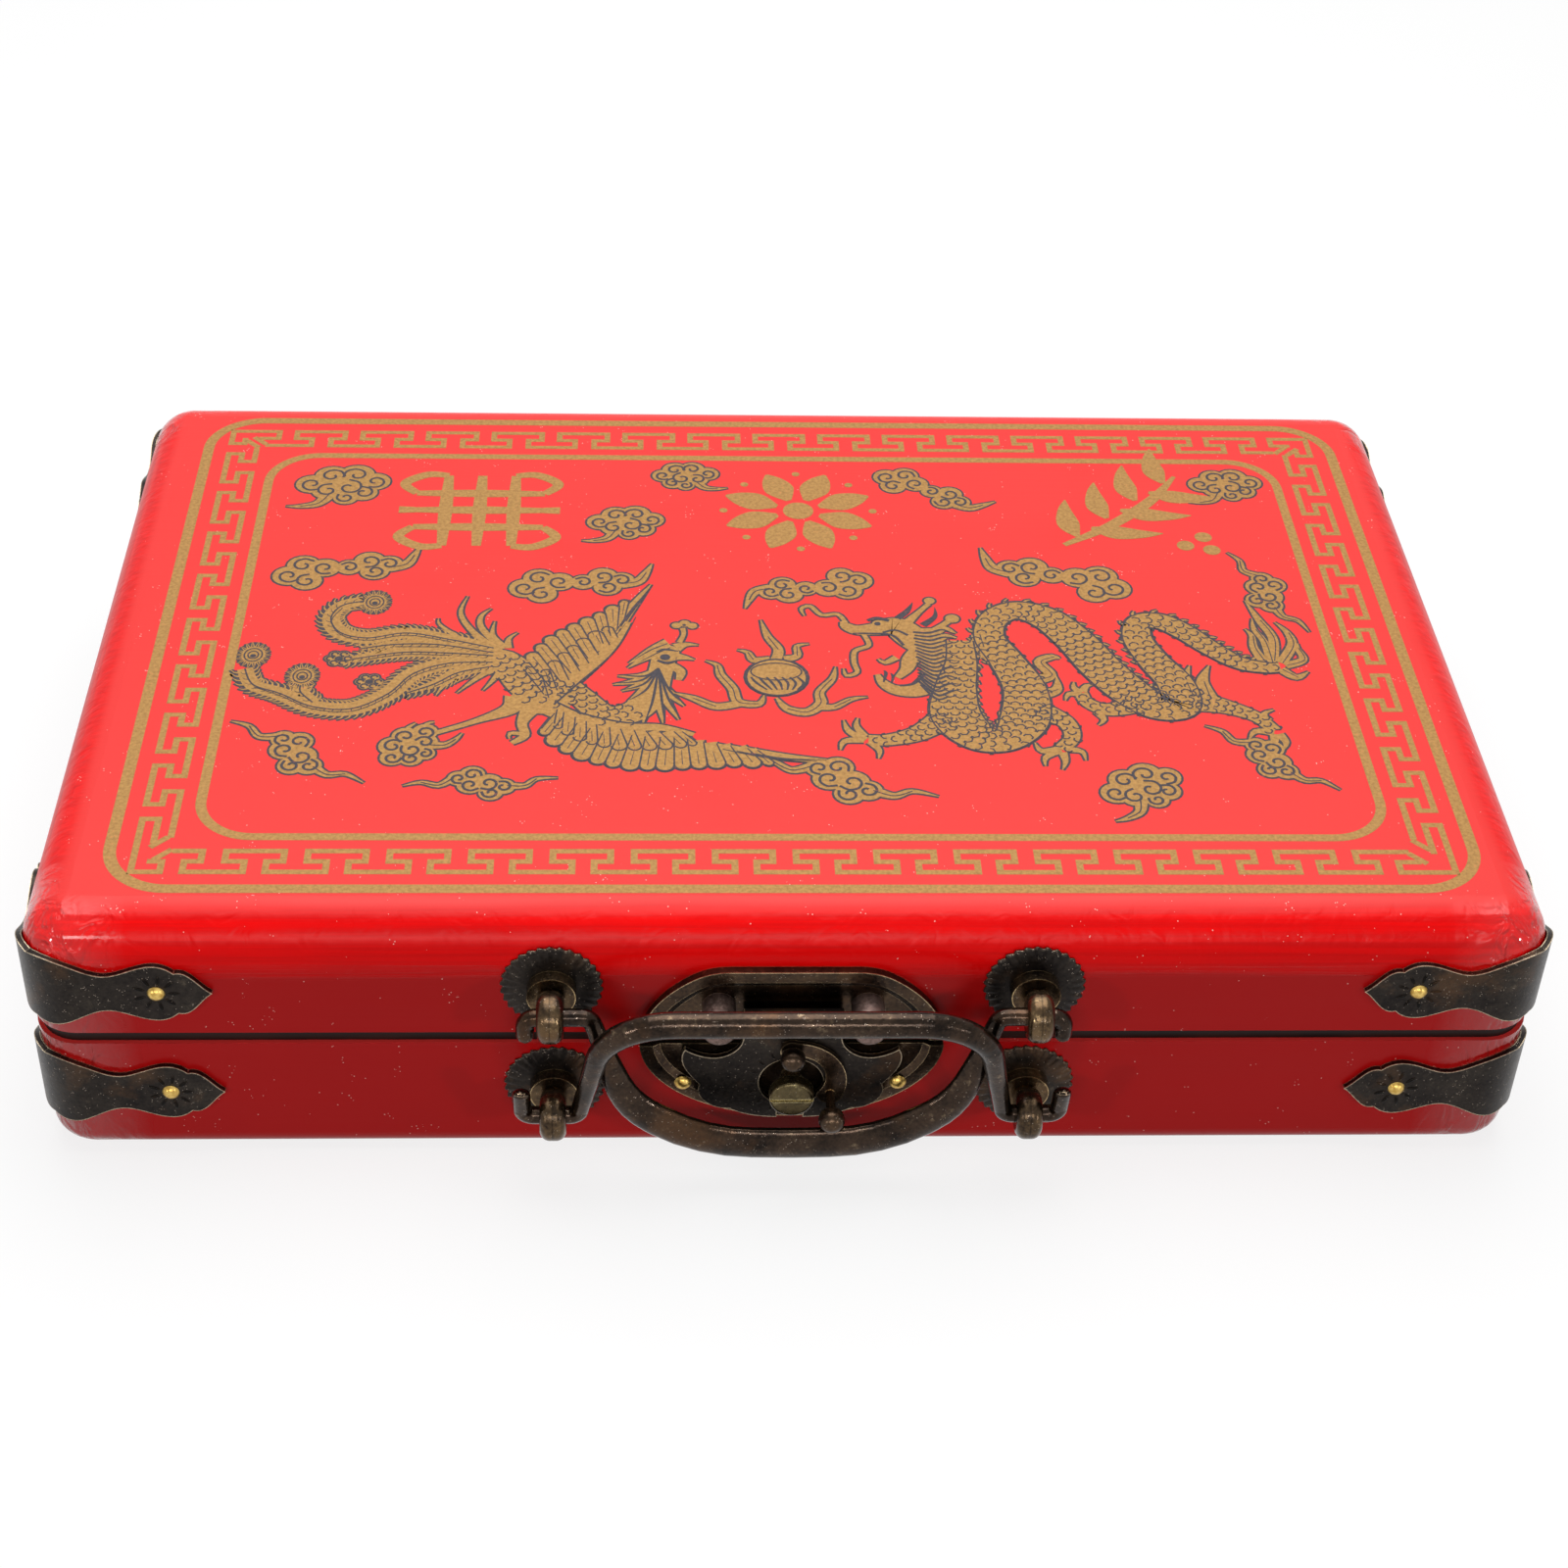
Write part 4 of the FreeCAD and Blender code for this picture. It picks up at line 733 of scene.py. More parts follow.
def makeDragon():
    figure = Print("print_dragon")
    body = [(33, -3, 2.5), (32.7, -10, 2.9), (31, -18, 3.8), (30.5, -26, 4.6), (34, -32, 4.0),
            (39, -32.5, 3.3), (42.5, -27, 4.4), (43.5, -18, 4.0), (41, -9, 3.3), (38.6, -2, 2.9),
            (40, 4, 2.7), (44.5, 6.8, 2.8), (50, 4, 3.5), (54.5, -3, 3.9), (58, -11, 4.1), (62, -18, 4.1),
            (66.5, -23, 3.7), (71, -22.5, 3.6), (71, -16, 3.5), (68, -9, 3.1), (66, -2, 2.8),
            (67.2, 3, 2.5), (71, 3.4, 2.5), (75, 0, 2.5), (79, -5, 2.3), (83.5, -9.5, 2.0), (88, -11, 1.7),
            (91, -11, 1.4)]
    legs = [[(29, -26, 2.8), (23.5, -31, 2.0), (18, -33, 1.5), (14.5, -33, 1.4)],
            [(45, -24, 2.6), (49.6, -27.5, 1.7), (50.4, -32, 1.4), (48, -35.5, 1.3)],
            [(64, -22, 2.4), (58, -24, 1.7), (54.4, -22, 1.3), (53.5, -19, 1.2)],
            [(73, -21, 3.2), (79, -23, 2.0), (84, -26, 1.4), (86.6, -30, 1.3)]]
    claws = [[(14, -33, 0.9), (11.2, -30.5, 0.6), (10.4, -27.2, 0.08)],
             [(13.6, -33, 0.8), (10.3, -33.4, 0.6), (9.4, -36, 0.08)],
             [(14.8, -33.5, 0.8), (16.2, -36, 0.5), (15.9, -38.4, 0.08)],
             [(13.8, -32, 0.8), (12.6, -29, 0.5), (13, -26.6, 0.08)],
             [(48, -35.5, 0.9), (44.6, -36, 0.6), (43.6, -33.6, 0.08)],
             [(47.4, -36, 0.8), (45, -38, 0.5), (44.8, -40.4, 0.08)],
             [(48.2, -36.4, 0.8), (48.4, -39, 0.5), (47.6, -41.4, 0.08)],
             [(49, -35.5, 0.8), (51.6, -36.2, 0.5), (52, -38.8, 0.08)],
             [(53.5, -19, 0.8), (52.4, -17.4, 0.5), (52.6, -15.6, 0.08)],
             [(53.2, -19.4, 0.8), (51.2, -19.4, 0.5), (50.4, -21.4, 0.08)],
             [(53.8, -18.6, 0.8), (54.8, -16.8, 0.5), (56.4, -16.4, 0.08)],
             [(55.8, -24.6, 0.9), (56.6, -27, 0.5), (55.4, -28.6, 0.08)],
             [(86, -27, 0.8), (85.6, -25, 0.5), (87.6, -23.8, 0.08)],
             [(86.4, -30.6, 0.9), (83.2, -30.2, 0.6), (81.6, -32.6, 0.08)],
             [(86.4, -31, 0.9), (85.8, -33.6, 0.6), (84, -35, 0.08)],
             [(87.2, -31, 0.9), (88, -33.4, 0.6), (87.2, -35.6, 0.08)]]
    flames = [[(88.5, -10, 1.0), (87.2, -5, 0.8), (87.4, -1, 0.5), (86.4, 1.2, 0.06)],
              [(90, -9, 1.0), (91.2, -2, 0.9), (89.6, 4, 0.7), (88, 10.4, 0.06)],
              [(91.4, -9.6, 1.0), (94.4, -4, 0.9), (94.2, 0, 0.6), (92.4, 3.4, 0.06)],
              [(92, -10.4, 1.0), (95.6, -8.6, 0.8), (95.2, -5, 0.5), (95.6, -3.4, 0.06)],
              [(91, -11.6, 1.0), (93.4, -14, 0.8), (96, -12.2, 0.06)],
              [(89.6, -9.4, 0.9), (89.4, -3, 0.7), (88.2, 1, 0.5), (88.4, 4.6, 0.06)],
              [(73.4, -19.6, 1.6), (72.8, -15.6, 1.1), (74.4, -10.4, 0.06)],
              [(76.4, -20.4, 1.6), (76, -15.4, 1.1), (78, -10.4, 0.06)],
              [(45.8, -15, 1.4), (48.6, -13.6, 1.1), (47, -9.6, 1.0), (49.6, -8, 0.8), (51, -8.6, 0.06)],
              [(46, -19.6, 1.4), (49.2, -18, 1.0), (49.6, -14, 0.06)],
              [(36.6, -1, 1.3), (37, -5, 1.5), (38.2, -9, 1.0)]]
    fringeAlong(figure, body[8:19], 1.9, 2.1, 1)
    fringeAlong(figure, body[19:27], 1.7, 2.0, 1)
    fringeAlong(figure, body[0:7], 1.6, 2.1, 1)
    for claw in claws:
        figure.brush(*claw)
    for flame in flames:
        figure.brush(*flame)
        figure.line(*[(x + 0.3, y, 0.1) for x, y, half in flame[:-1]])
    for leg in legs:
        figure.brush(*leg)
        scalesAlong(figure, leg, 1.35)
    figure.brush(*body)
    edge = smoothLine(body)
    for side in (-1, 1):
        rim = []
        for a, b in zip(edge, edge[1:]):
            along = (b - a).xy.normalized()
            spot = a.xy + Vector((-along.y, along.x)) * side * a.z
            rim.append((spot.x, spot.y, 0.16))
        figure.dark.append(rim)
    scalesAlong(figure, body, 1.55)
    # head: mane, brow, snout, jaws, horns and whiskers
    for k in range(9):
        y = 2 - k * 2.4
        figure.brush((25.5, y * 0.8 - 2, 1.2), (28.6, y - 2.2, 1.1), (30.6, y - 1.2, 0.7),
                     (32.6, y - 2.8 + (k % 3), 0.08))
        figure.line((24.6, y * 0.8 - 2, 0.28), (27.6, y - 2.6, 0.3), (30, y - 1.6, 0.25),
                    (32, y - 2.8 + (k % 3), 0.06))
        figure.line((24.8, y * 0.8 - 3, 0.2), (27.4, y - 3.8, 0.28), (29.6, y - 3, 0.2))
    figure.brush((29, -8, 2.4), (25, -3, 3.2), (21.6, 1.2, 2.9), (18, 0.6, 1.9), (14.4, 0.2, 1.4),
                 (12.4, 1.4, 1.1), (11.8, 3, 0.5))
    figure.brush((26, -6, 2.2), (23.6, -9, 1.6), (22.6, -12, 1.1), (20.8, -14.6, 0.6))
    figure.brush((28, -14, 2.4), (24.6, -18, 2.0), (20.6, -18.4, 1.4), (18.2, -16.4, 1.0), (17.2, -13.6, 0.4))
    figure.brush((21, -8.4, 0.7), (18.8, -10, 0.5), (17.6, -8.8, 0.1))
    figure.brush((24, 3, 0.9), (26.4, 6.4, 0.5), (28.2, 8.8, 0.5))
    figure.spot(28.4, 9.8, 1.0)
    figure.brush((27.4, -1, 0.9), (30.4, 2, 0.6), (31.6, 3.4, 0.6))
    figure.spot(32.2, 4.0, 1.3)
    figure.line((22, 4.0, 0.7), (24, 6.4, 0.6), (25.2, 9.2, 0.06))
    figure.line((26.6, 1.8, 0.8), (29, 4.6, 0.5), (29.2, 7.6, 0.06))
    figure.brush((12.4, 2.4, 0.4), (11, 5.2, 0.42), (8, 5, 0.42), (6, 7.8, 0.42), (4.3, 7, 0.36),
                 (4.8, 4.6, 0.1))
    figure.brush((15.4, -1, 0.45), (16.2, -4.6, 0.45), (13.6, -6.4, 0.45), (13.2, -10, 0.45),
                 (13.6, -13, 0.42), (11.6, -14, 0.38), (11.2, -11.8, 0.1))
    figure.spot(18.4, 2.2, 1.2)
    figure.darkSpot(18.2, 2.2, 0.6)
    figure.line((16.4, 3.2, 0.4), (18.2, 4.0, 0.5), (20.4, 3.2, 0.4))
    figure.line((13.4, -0.9, 0.2), (16.6, -0.9, 0.25), (20.6, -1.4, 0.3), (22.6, -4.6, 0.3))
    figure.line((19, -0.6, 0.3), (21.4, 0.2, 0.25), (23.6, -1.4, 0.3))
    figure.line((18.2, -16, 0.15), (18.8, -13.2, 0.35), (18.4, -12.4, 0.05))
    figure.line((21, -17, 0.3), (23.6, -16.4, 0.3), (26, -13.4, 0.3))
    figure.line((19.6, -16.4, 0.15), (20, -14.2, 0.3), (19.6, -13.2, 0.05))
    figure.build()


makeDragon()


# closed line of even width round a middle
def oval(x, y, across, upward, half, steps):
    turns = [k * math.pi / (steps / 2) for k in range(steps + 1)]
    return [(x + across * math.cos(turn), y + upward * math.sin(turn), half) for turn in turns]


def makePearl():
    figure = Print("print_pearl")
    for flame in ([(-1, -9.5, 1.0), (-0.4, -6, 0.9), (-2.2, -2, 0.7), (-3.4, 3.4, 0.06)],
                  [(-2, -9.2, 0.9), (-5, -9.3, 0.8), (-6, -7, 0.5), (-8, -6.2, 0.06)],
                  [(0.6, -9, 0.9), (3, -8, 0.7), (3, -5, 0.5), (5.4, -4.2, 0.06)],
                  [(-3.4, -20, 0.1), (-4.4, -22.6, 0.7), (-8, -22, 0.9), (-9, -18, 0.9), (-11, -14, 0.8),
                   (-11.6, -11, 0.5), (-13.8, -9.6, 0.06)],
                  [(-7.6, -22.4, 0.9), (-12, -23.4, 0.9), (-16, -21, 0.7), (-19.4, -19.4, 0.06)],
                  [(-1.2, -20.8, 0.2), (0.6, -24, 0.8), (4, -25, 1.0), (6.6, -22.4, 1.0), (6.6, -19, 0.8),
                   (9, -15, 0.6), (9.8, -11.2, 0.06)],
                  [(6, -23.4, 0.9), (9, -23.4, 0.7), (12, -21.2, 0.5), (15.2, -20.4, 0.06)]):
        figure.brush(*flame)
        figure.line(*[(x, y, 0.1) for x, y, half in flame[1:-1]])
    figure.spot(-1, -14.6, 5.6)
    figure.dark += [oval(-1, -14.6, 5.5, 5.5, 0.22, 24), oval(-1, -12.9, 4.6, 2.6, 0.15, 24)]
    for k in range(7):
        figure.line((-5.6 + k * 1.4, -14.6, 0.2), (-4.6 + k * 1.4, -16.4, 0.26),
                    (-2.8 + k * 0.9, -18.4, 0.15))
    figure.build()


makePearl()


# feathers side by side between the arm's line and the line of their tips, each with a round end
def wingFan(figure, roots, tips, count):
    def places(points):
        line = smoothLine(points, 0.4)
        return [line[round(k / count * (len(line) - 1))].xy for k in range(count + 1)]

    rootLine, tipLine = places(roots), places(tips)
    for k in range(count):
        root = (rootLine[k] + rootLine[k + 1]) / 2
        tip = (tipLine[k] + tipLine[k + 1]) / 2
        side = tipLine[k + 1] - tipLine[k]
        ahead = (tip - root).normalized()
        half = abs(side.cross(ahead)) / 2
        rootHalf = abs((rootLine[k + 1] - rootLine[k]).cross(ahead)) / 2 + 0.15
        figure.gold.append([(root.x, root.y, rootHalf), (tip.x, tip.y, half)])
        figure.spot(tip.x, tip.y, half)
        across = Vector((-ahead.y, ahead.x))
        arc = []
        for step in range(9):
            angle = math.pi * step / 8
            point = tip + across * half * math.cos(angle) + ahead * half * math.sin(angle)
            arc.append((point.x, point.y, 0.17))
        figure.dark.append(arc)
        middle = root + (tip - root) * 0.45
        figure.dark.append([(middle.x, middle.y, 0.05), (tip.x, tip.y, 0.09)])
    for k in range(count + 1):
        figure.dark.append([(rootLine[k].x, rootLine[k].y, 0.12), (tipLine[k].x, tipLine[k].y, 0.17)])


def makePhoenix():
    figure = Print("print_phoenix")
    plumes = [[(-52, -6, 1.4), (-60, -3.4, 1.5), (-68, -1.4, 1.7), (-75, -3, 1.8), (-80, -1.4, 1.8),
               (-82.2, 3, 1.6), (-80.6, 7.2, 1.5), (-76.6, 8.8, 1.5)],
              [(-52, -8.4, 1.2), (-60, -7.6, 1.4), (-68, -7.4, 1.5), (-75, -9, 1.2), (-78, -10, 0.8)],
              [(-52, -10.4, 1.4), (-60, -10.8, 1.7), (-66, -14, 1.9), (-70, -20, 1.9), (-76, -24.4, 1.9),
               (-83, -23.8, 1.8), (-89, -20, 1.7), (-94, -17.4, 1.5), (-96, -12.6, 1.4)],
              [(-52, -11.6, 1.1), (-58, -13.6, 1.3), (-62, -17, 1.1), (-66.5, -19.6, 0.3)],
              [(-83, -22.6, 1.4), (-85.4, -19.6, 1.4), (-85.6, -17.6, 1.2)],
              [(-52, -7.4, 1.4), (-62, -5, 1.6), (-70, -5, 1.2), (-76, -6.4, 0.3)]]
    for plume in plumes:
        for side in (-1, 1):
            fringeAlong(figure, plume, 1.5, 0.95, side, 0.9, 0.22)
        figure.brush(*plume)
        figure.line(*[(x, y, 0.16) for x, y, half in plume])
        figure.line(*[(x + 0.2, y - 0.7, 0.1) for x, y, half in plume[1:-1]])
        fringeAlong(figure, [(x, y, 0.1) for x, y, half in plume], 0.9, 1.4, 1, 0.9, 0.1, False, 1.0)
    for ex, ey in ((-74.6, 8.4), (-95, -8.4), (-85.6, -14.8)):
        for k in range(18):
            turn = k * math.pi / 9
            figure.brush((ex + 1.6 * math.cos(turn), ey + 1.9 * math.sin(turn), 0.5),
                         (ex + 3.2 * math.cos(turn), ey + 4.0 * math.sin(turn), 0.1))
            figure.line((ex + 2.1 * math.cos(turn), ey + 2.5 * math.sin(turn), 0.12),
                        (ex + 3.1 * math.cos(turn), ey + 3.8 * math.sin(turn), 0.05))
        figure.spot(ex, ey, 2.2)
        for radius in (1.9, 1.1):
            figure.dark.append(oval(ex, ey, radius * 0.85, radius * 1.05, 0.14, 16))
        figure.darkSpot(ex, ey - 0.3, 0.55)
    for cx, cy in ((-79.6, -9.4), (-73.6, -16.4)):
        for k in range(6):
            turn = k * math.pi / 3
            figure.spot(cx + 1.6 * math.cos(turn), cy + 1.5 * math.sin(turn), 0.9)
            figure.dark.append([(cx + 1.6 * math.cos(turn) + 0.62 * math.cos(a * 0.7),
                                 cy + 1.5 * math.sin(turn) + 0.62 * math.sin(a * 0.7), 0.2)
                                for a in range(8)])
        figure.darkSpot(cx, cy, 0.7)
    quills = [[(-51, -7, 0.8), (-56, -1, 0.6), (-58.6, 5, 0.4), (-57.6, 10.6, 0.05)],
              [(-50.5, -6, 0.8), (-54.4, 0, 0.6), (-54.8, 4, 0.4), (-53, 6.6, 0.05)],
              [(-50, -6, 0.8), (-52.4, -2, 0.5), (-52.2, 2.6, 0.05)],
              [(-49.5, -6, 0.8), (-49.4, -3, 0.4), (-47.8, -1, 0.05)],
              [(-51, -10, 0.8), (-56, -13, 0.6), (-60, -17, 0.4), (-61.6, -20.6, 0.05)],
              [(-50.5, -11, 0.8), (-54.4, -15, 0.5), (-58, -19.8, 0.05)],
              [(-50, -12, 0.8), (-51.8, -16, 0.4), (-53.4, -19, 0.05)],
              [(-51, -7.6, 0.8), (-57, -4, 0.6), (-62, 1, 0.3), (-62.6, 3.4, 0.05)]]
    for quill in quills:
        figure.brush(*quill)
    # legs
    for leg in ([(-47, -21, 2.4), (-48.4, -24.4, 1.6), (-53.6, -27.6, 0.7), (-59, -30.4, 0.55),
                 (-63.4, -32.4, 0.6)],
                [(-44.6, -24, 1.8), (-46, -28.4, 0.9), (-45.4, -32, 0.8), (-47.6, -34.2, 0.5)],
                [(-63, -32.2, 0.55), (-65.8, -30.4, 0.5), (-64.4, -28.4, 0.1)],
                [(-62, -31.6, 0.55), (-62.6, -28.8, 0.4), (-61.2, -28.2, 0.1)],
                [(-63, -32.4, 0.5), (-65.6, -32.8, 0.4), (-66.2, -31.4, 0.1)],
                [(-45.4, -31.6, 0.5), (-48, -31.4, 0.4), (-48, -33, 0.1)]):
        figure.brush(*leg)
    # wings: the feather tips run along one line and their roots along the arm
    wingFan(figure, [(-42.5, -20), (-37.4, -13), (-33.4, -6.4), (-30.6, -1.4), (-28.6, 2.6)],
            [(-46.4, -12.4), (-43.4, -5.6), (-39.6, -1.2), (-35, 2.6), (-31.4, 5.8), (-27.6, 9.6)], 10)
    wingFan(figure, [(-41.6, -21), (-37, -14), (-33, -8), (-29.6, -2.6)],
            [(-43, -14.4), (-39.4, -8.6), (-36, -4.2), (-30.6, 0.6)], 7)
    for k in range(3):
        figure.brush((-30.6 + k * 0.9, -1 + k * 1.6, 0.8), (-28 + k * 0.8, 6 + k * 1.4, 0.75),
                     (-24.6 + k * 0.5, 12.4 + k * 1.2, 0.08))
        figure.line((-30 + k * 0.9, -0.6 + k * 1.6, 0.1), (-27.3 + k * 0.8, 6.2 + k * 1.4, 0.16),
                    (-24.4 + k * 0.5, 12.2 + k * 1.2, 0.06))
        figure.brush((-12 + k * 2.4, -35 - k * 0.5, 0.9), (-4 + k * 1.8, -37.4 - k * 0.2, 0.8),
                     (4.6 + k * 1.2, -39.4 + k * 0.4, 0.08))
        figure.line((-11 + k * 2.4, -35.8 - k * 0.5, 0.1), (-4 + k * 1.8, -38 - k * 0.2, 0.16),
                    (4 + k * 1.2, -39.5 + k * 0.4, 0.06))
    figure.brush((-42.6, -23, 2.2), (-38.4, -17, 1.7), (-33.6, -10, 1.3), (-30.2, -4.4, 0.8),
                 (-27.6, 2.4, 0.4))
    figure.line((-40.6, -23, 0.2), (-36.4, -16.6, 0.2), (-31.8, -9.8, 0.2), (-29, -4.2, 0.15),
                (-26.4, 4, 0.1))
    wingFan(figure, [(-40.4, -25.6), (-33, -30.4), (-26, -32), (-19, -32.6), (-11, -34.4), (-5, -36)],
            [(-42.6, -30), (-38.4, -35.4), (-32, -39), (-25, -40.4), (-17, -40), (-9, -39.4),
             (-2, -39.6)], 15)
    wingFan(figure, [(-40, -24.4), (-33, -28.8), (-26, -30.4), (-18, -30.8)],
            [(-40.4, -28.6), (-35, -33), (-27, -35), (-15.4, -34)], 11)
    figure.brush((-42, -23.6, 2.0), (-36, -27.6, 1.7), (-29, -29.6, 1.3), (-22, -29.6, 0.9),
                 (-16, -31.6, 0.5))
    figure.line((-40, -22.4, 0.2), (-35, -25.8, 0.2), (-28, -28.2, 0.2), (-21.4, -28.6, 0.15),
                (-15.6, -31, 0.1))
    # body, neck and head
    body = [(-50.6, -8.6, 1.6), (-47.6, -13, 3.6), (-44, -18, 4.2), (-40, -20, 3.4), (-36.6, -19.6, 2.6)]
    neck = [(-38, -17, 1.8), (-35.6, -21, 2.4), (-31.4, -26, 2.6), (-26.6, -25, 2.8), (-23.4, -20, 2.6),
            (-22, -14, 2.2), (-21.2, -8.6, 2.2)]
    figure.brush((-53, -8.8, 2.2), (-50.4, -9.6, 3.0), (-47.6, -13, 3.4))
    figure.brush((-48.4, -20.6, 1.8), (-45, -22.6, 2.6), (-41.6, -23.4, 2.4), (-38, -24.4, 1.4))
    figure.brush(*body)
    figure.brush(*neck)
    scalesAlong(figure, body, 1.6)
    scalesAlong(figure, neck, 1.5, 0.5)
    for tip, bend in (((-30.4, -17), 0.6), ((-29.6, -14.4), 0.8), ((-28.8, -19), 0.4),
                      ((-17.6, -23.4), -0.6), ((-18.6, -27.4), -0.5), ((-21.4, -28.4), -0.2),
                      ((-25, -29), 0), ((-19.2, -19.6), -0.6), ((-27.6, -22), 0.3)):
        figure.brush((-22.4, -12.4, 0.7), ((-22.4 + tip[0]) / 2 + bend, (-12.4 + tip[1]) / 2 - 1, 0.8),
                     (tip[0], tip[1], 0.08))
        figure.line((-22.2, -12, 0.2), ((-22.4 + tip[0]) / 2 + bend + 0.5, (-12.4 + tip[1]) / 2 - 1, 0.24),
                    (tip[0] + 0.3, tip[1] + 0.4, 0.06))
    figure.spot(-20.8, -7.2, 2.4)
    figure.brush((-20.2, -4.6, 1.8), (-23.4, -6.6, 1.0), (-27.6, -10.6, 0.08))
    figure.brush((-21.6, -6.6, 1.2), (-25, -9.2, 0.7), (-27.8, -12, 0.06))
    figure.brush((-19, -5.6, 1.3), (-17.2, -4.6, 0.6), (-14.8, -4.8, 0.06))
    figure.brush((-18.8, -8.4, 1.0), (-17, -8.8, 0.5), (-15.6, -9.4, 0.06))
    figure.brush((-20, -11, 0.9), (-18.2, -13, 0.9), (-18.6, -15.6, 0.5))
    figure.brush((-18.4, -4, 0.5), (-17.6, -1.4, 0.4), (-17.8, 0.6, 0.5))
    figure.spot(-18.9, 1.4, 0.9)
    figure.spot(-17.4, 2.0, 1.0)
    figure.spot(-16.0, 1.3, 0.9)
    figure.darkSpot(-21, -8.6, 0.95)
    figure.darkSpot(-17.5, 1.5, 0.35)
    figure.line((-22.4, -9.6, 0.3), (-20.6, -10.4, 0.4), (-18.8, -9.6, 0.2))
    figure.line((-22.6, -7, 0.15), (-21, -6.2, 0.35), (-18.6, -6.8, 0.1))
    figure.line((-20.6, -4.4, 0.12), (-23.6, -6.4, 0.14), (-26.4, -9.2, 0.05))
    figure.line((-20, -5.6, 0.12), (-23, -7.8, 0.12), (-25.4, -10, 0.05))
    figure.build()


makePhoenix()
print("figures printed")


# a saw tooth climbs over the share "climb" of its width and drops over the rest
rosetteLook = {"teeth": 30, "toothDepth": 0.062, "toothStart": 0.72, "fluteDepth": 0.09, "climb": 0.68,
               "rings": 9, "hole": 0.0036, "crown": 0.98, "fall": 0.62, "fallPower": 2.2}


# domed, fluted disc with a scalloped edge, in the CAD rosette's place
def makeRosette(name, body):
    look = rosetteLook
    low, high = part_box(name)
    radius = (high.x - low.x) / 2
    thick = high.y - low.y
    centre = Vector(((low.x + high.x) / 2, high.y, (low.z + high.z) / 2))
    bm = bmesh.new()
    profile = []
    for k in range(look["rings"] + 1):
        t = k / look["rings"]
        reach = look["hole"] + (radius - look["hole"]) * t
        height = thick * (look["crown"] - look["fall"] * t ** look["fallPower"])
        profile.append(bm.verts.new((reach, 0, height)))
    profile.append(bm.verts.new((radius, 0, 0)))
    profile.append(bm.verts.new((look["hole"], 0, 0)))
    edges = [bm.edges.new(pair) for pair in zip(profile, profile[1:] + profile[:1])]
    bmesh.ops.spin(bm, geom=profile + edges, cent=(0, 0, 0), axis=(0, 0, 1), angle=2 * math.pi,
                   steps=look["teeth"] * 8, use_merge=True)
    bmesh.ops.remove_doubles(bm, verts=bm.verts, dist=1e-7)
    for vert in bm.verts:
        share = (vert.co.xy.length - look["hole"]) / (radius - look["hole"])
        tooth = (math.atan2(vert.co.y, vert.co.x) / (2 * math.pi) * look["teeth"]) % 1.0
        climb = tooth / look["climb"] if tooth < look["climb"] else (1 - tooth) / (1 - look["climb"])
        if vert.co.z > 1e-5:
            vert.co.z += (climb - 0.5) * 2 * look["fluteDepth"] * mm * max(0.0, 2.0 * share - 0.8)
            vert.co.z = max(vert.co.z, 0.00005)
        edge = max(0.0, (share - look["toothStart"]) / (1 - look["toothStart"]))
        vert.co.xy *= 1 - (1 - climb) * look["toothDepth"] * edge
    bmesh.ops.recalc_face_normals(bm, faces=bm.faces)
    bmesh.ops.transform(bm, matrix=Matrix.Translation(centre) @ Matrix.Rotation(math.pi / 2, 4, "X"),
                        verts=bm.verts)
    addPiece(name.replace("_rosette", "_fluted_rosette"), meshFrom(bm, name), [bronze], body,
             (name,))


for half in ("base", "lid"):
    for side in ("left", "right"):
        makeRosette(half + "_" + side + "_rosette", half)

starLook = {"petals": 9, "reach": 2.85, "length": 1.05, "width": 0.34, "rise": 0.22}


# little embossed petal, sized along the x, y and z of its place
def petal(bm, place, *sizes):
    shape = Matrix.Diagonal([size * mm for size in sizes] + [1])
    bmesh.ops.create_icosphere(bm, subdivisions=2, radius=1.0, matrix=place @ shape)


# an embossed star round every nail of the corner bands, its petals near black as painted shade of punched
# hollows
def makeBandStars(half):
    bm = bmesh.new()
    source = bmesh.new()
    source.from_mesh(nodes[half + "_band_nails"].data)
    bmesh.ops.remove_doubles(source, verts=source.verts, dist=1e-6)
    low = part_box(half + "_front_left_band")[0]
    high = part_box(half + "_rear_right_band")[1]
    seen = set()
    for first in source.verts:
        if first in seen:
            continue
        seen.add(first)
        group = [first]
        for vert in group:
            for edge in vert.link_edges:
                other = edge.other_vert(vert)
                if other not in seen:
                    seen.add(other)
                    group.append(other)
        ends = [(min(values), max(values)) for values in zip(*(vert.co for vert in group))]
        spot = Vector([sum(pair) / 2 for pair in ends])
        # a nail is longer along its shank than its head is wide
        axis = 1 if ends[1][1] - ends[1][0] > ends[0][1] - ends[0][0] else 0
        outwards = Vector()
        outwards[axis] = 1 if spot[axis] > 0 else -1
        spot[axis] = (high if spot[axis] > 0 else low)[axis]
        facing = Matrix.Translation(spot) @ outwards.to_track_quat("Z", "Y").to_matrix().to_4x4()
        for k in range(starLook["petals"]):
            around = Matrix.Rotation(2 * math.pi * k / starLook["petals"], 4, "Z")
            petal(bm, facing @ around @ Matrix.Translation((starLook["reach"] * mm, 0, 0)),
                  starLook["length"], starLook["width"], starLook["rise"])
    source.free()
    addPiece(half + "_band_stars", meshFrom(bm, half + "_band_stars"), [punchShade], half)


for half in ("base", "lid"):
    makeBandStars(half)

haspLook = {"marks": 7, "from": 118, "to": 242, "reach": 6.7, "length": 0.8, "width": 0.27, "rise": 0.16,
            "behind": 0.25, "up": 0.4}


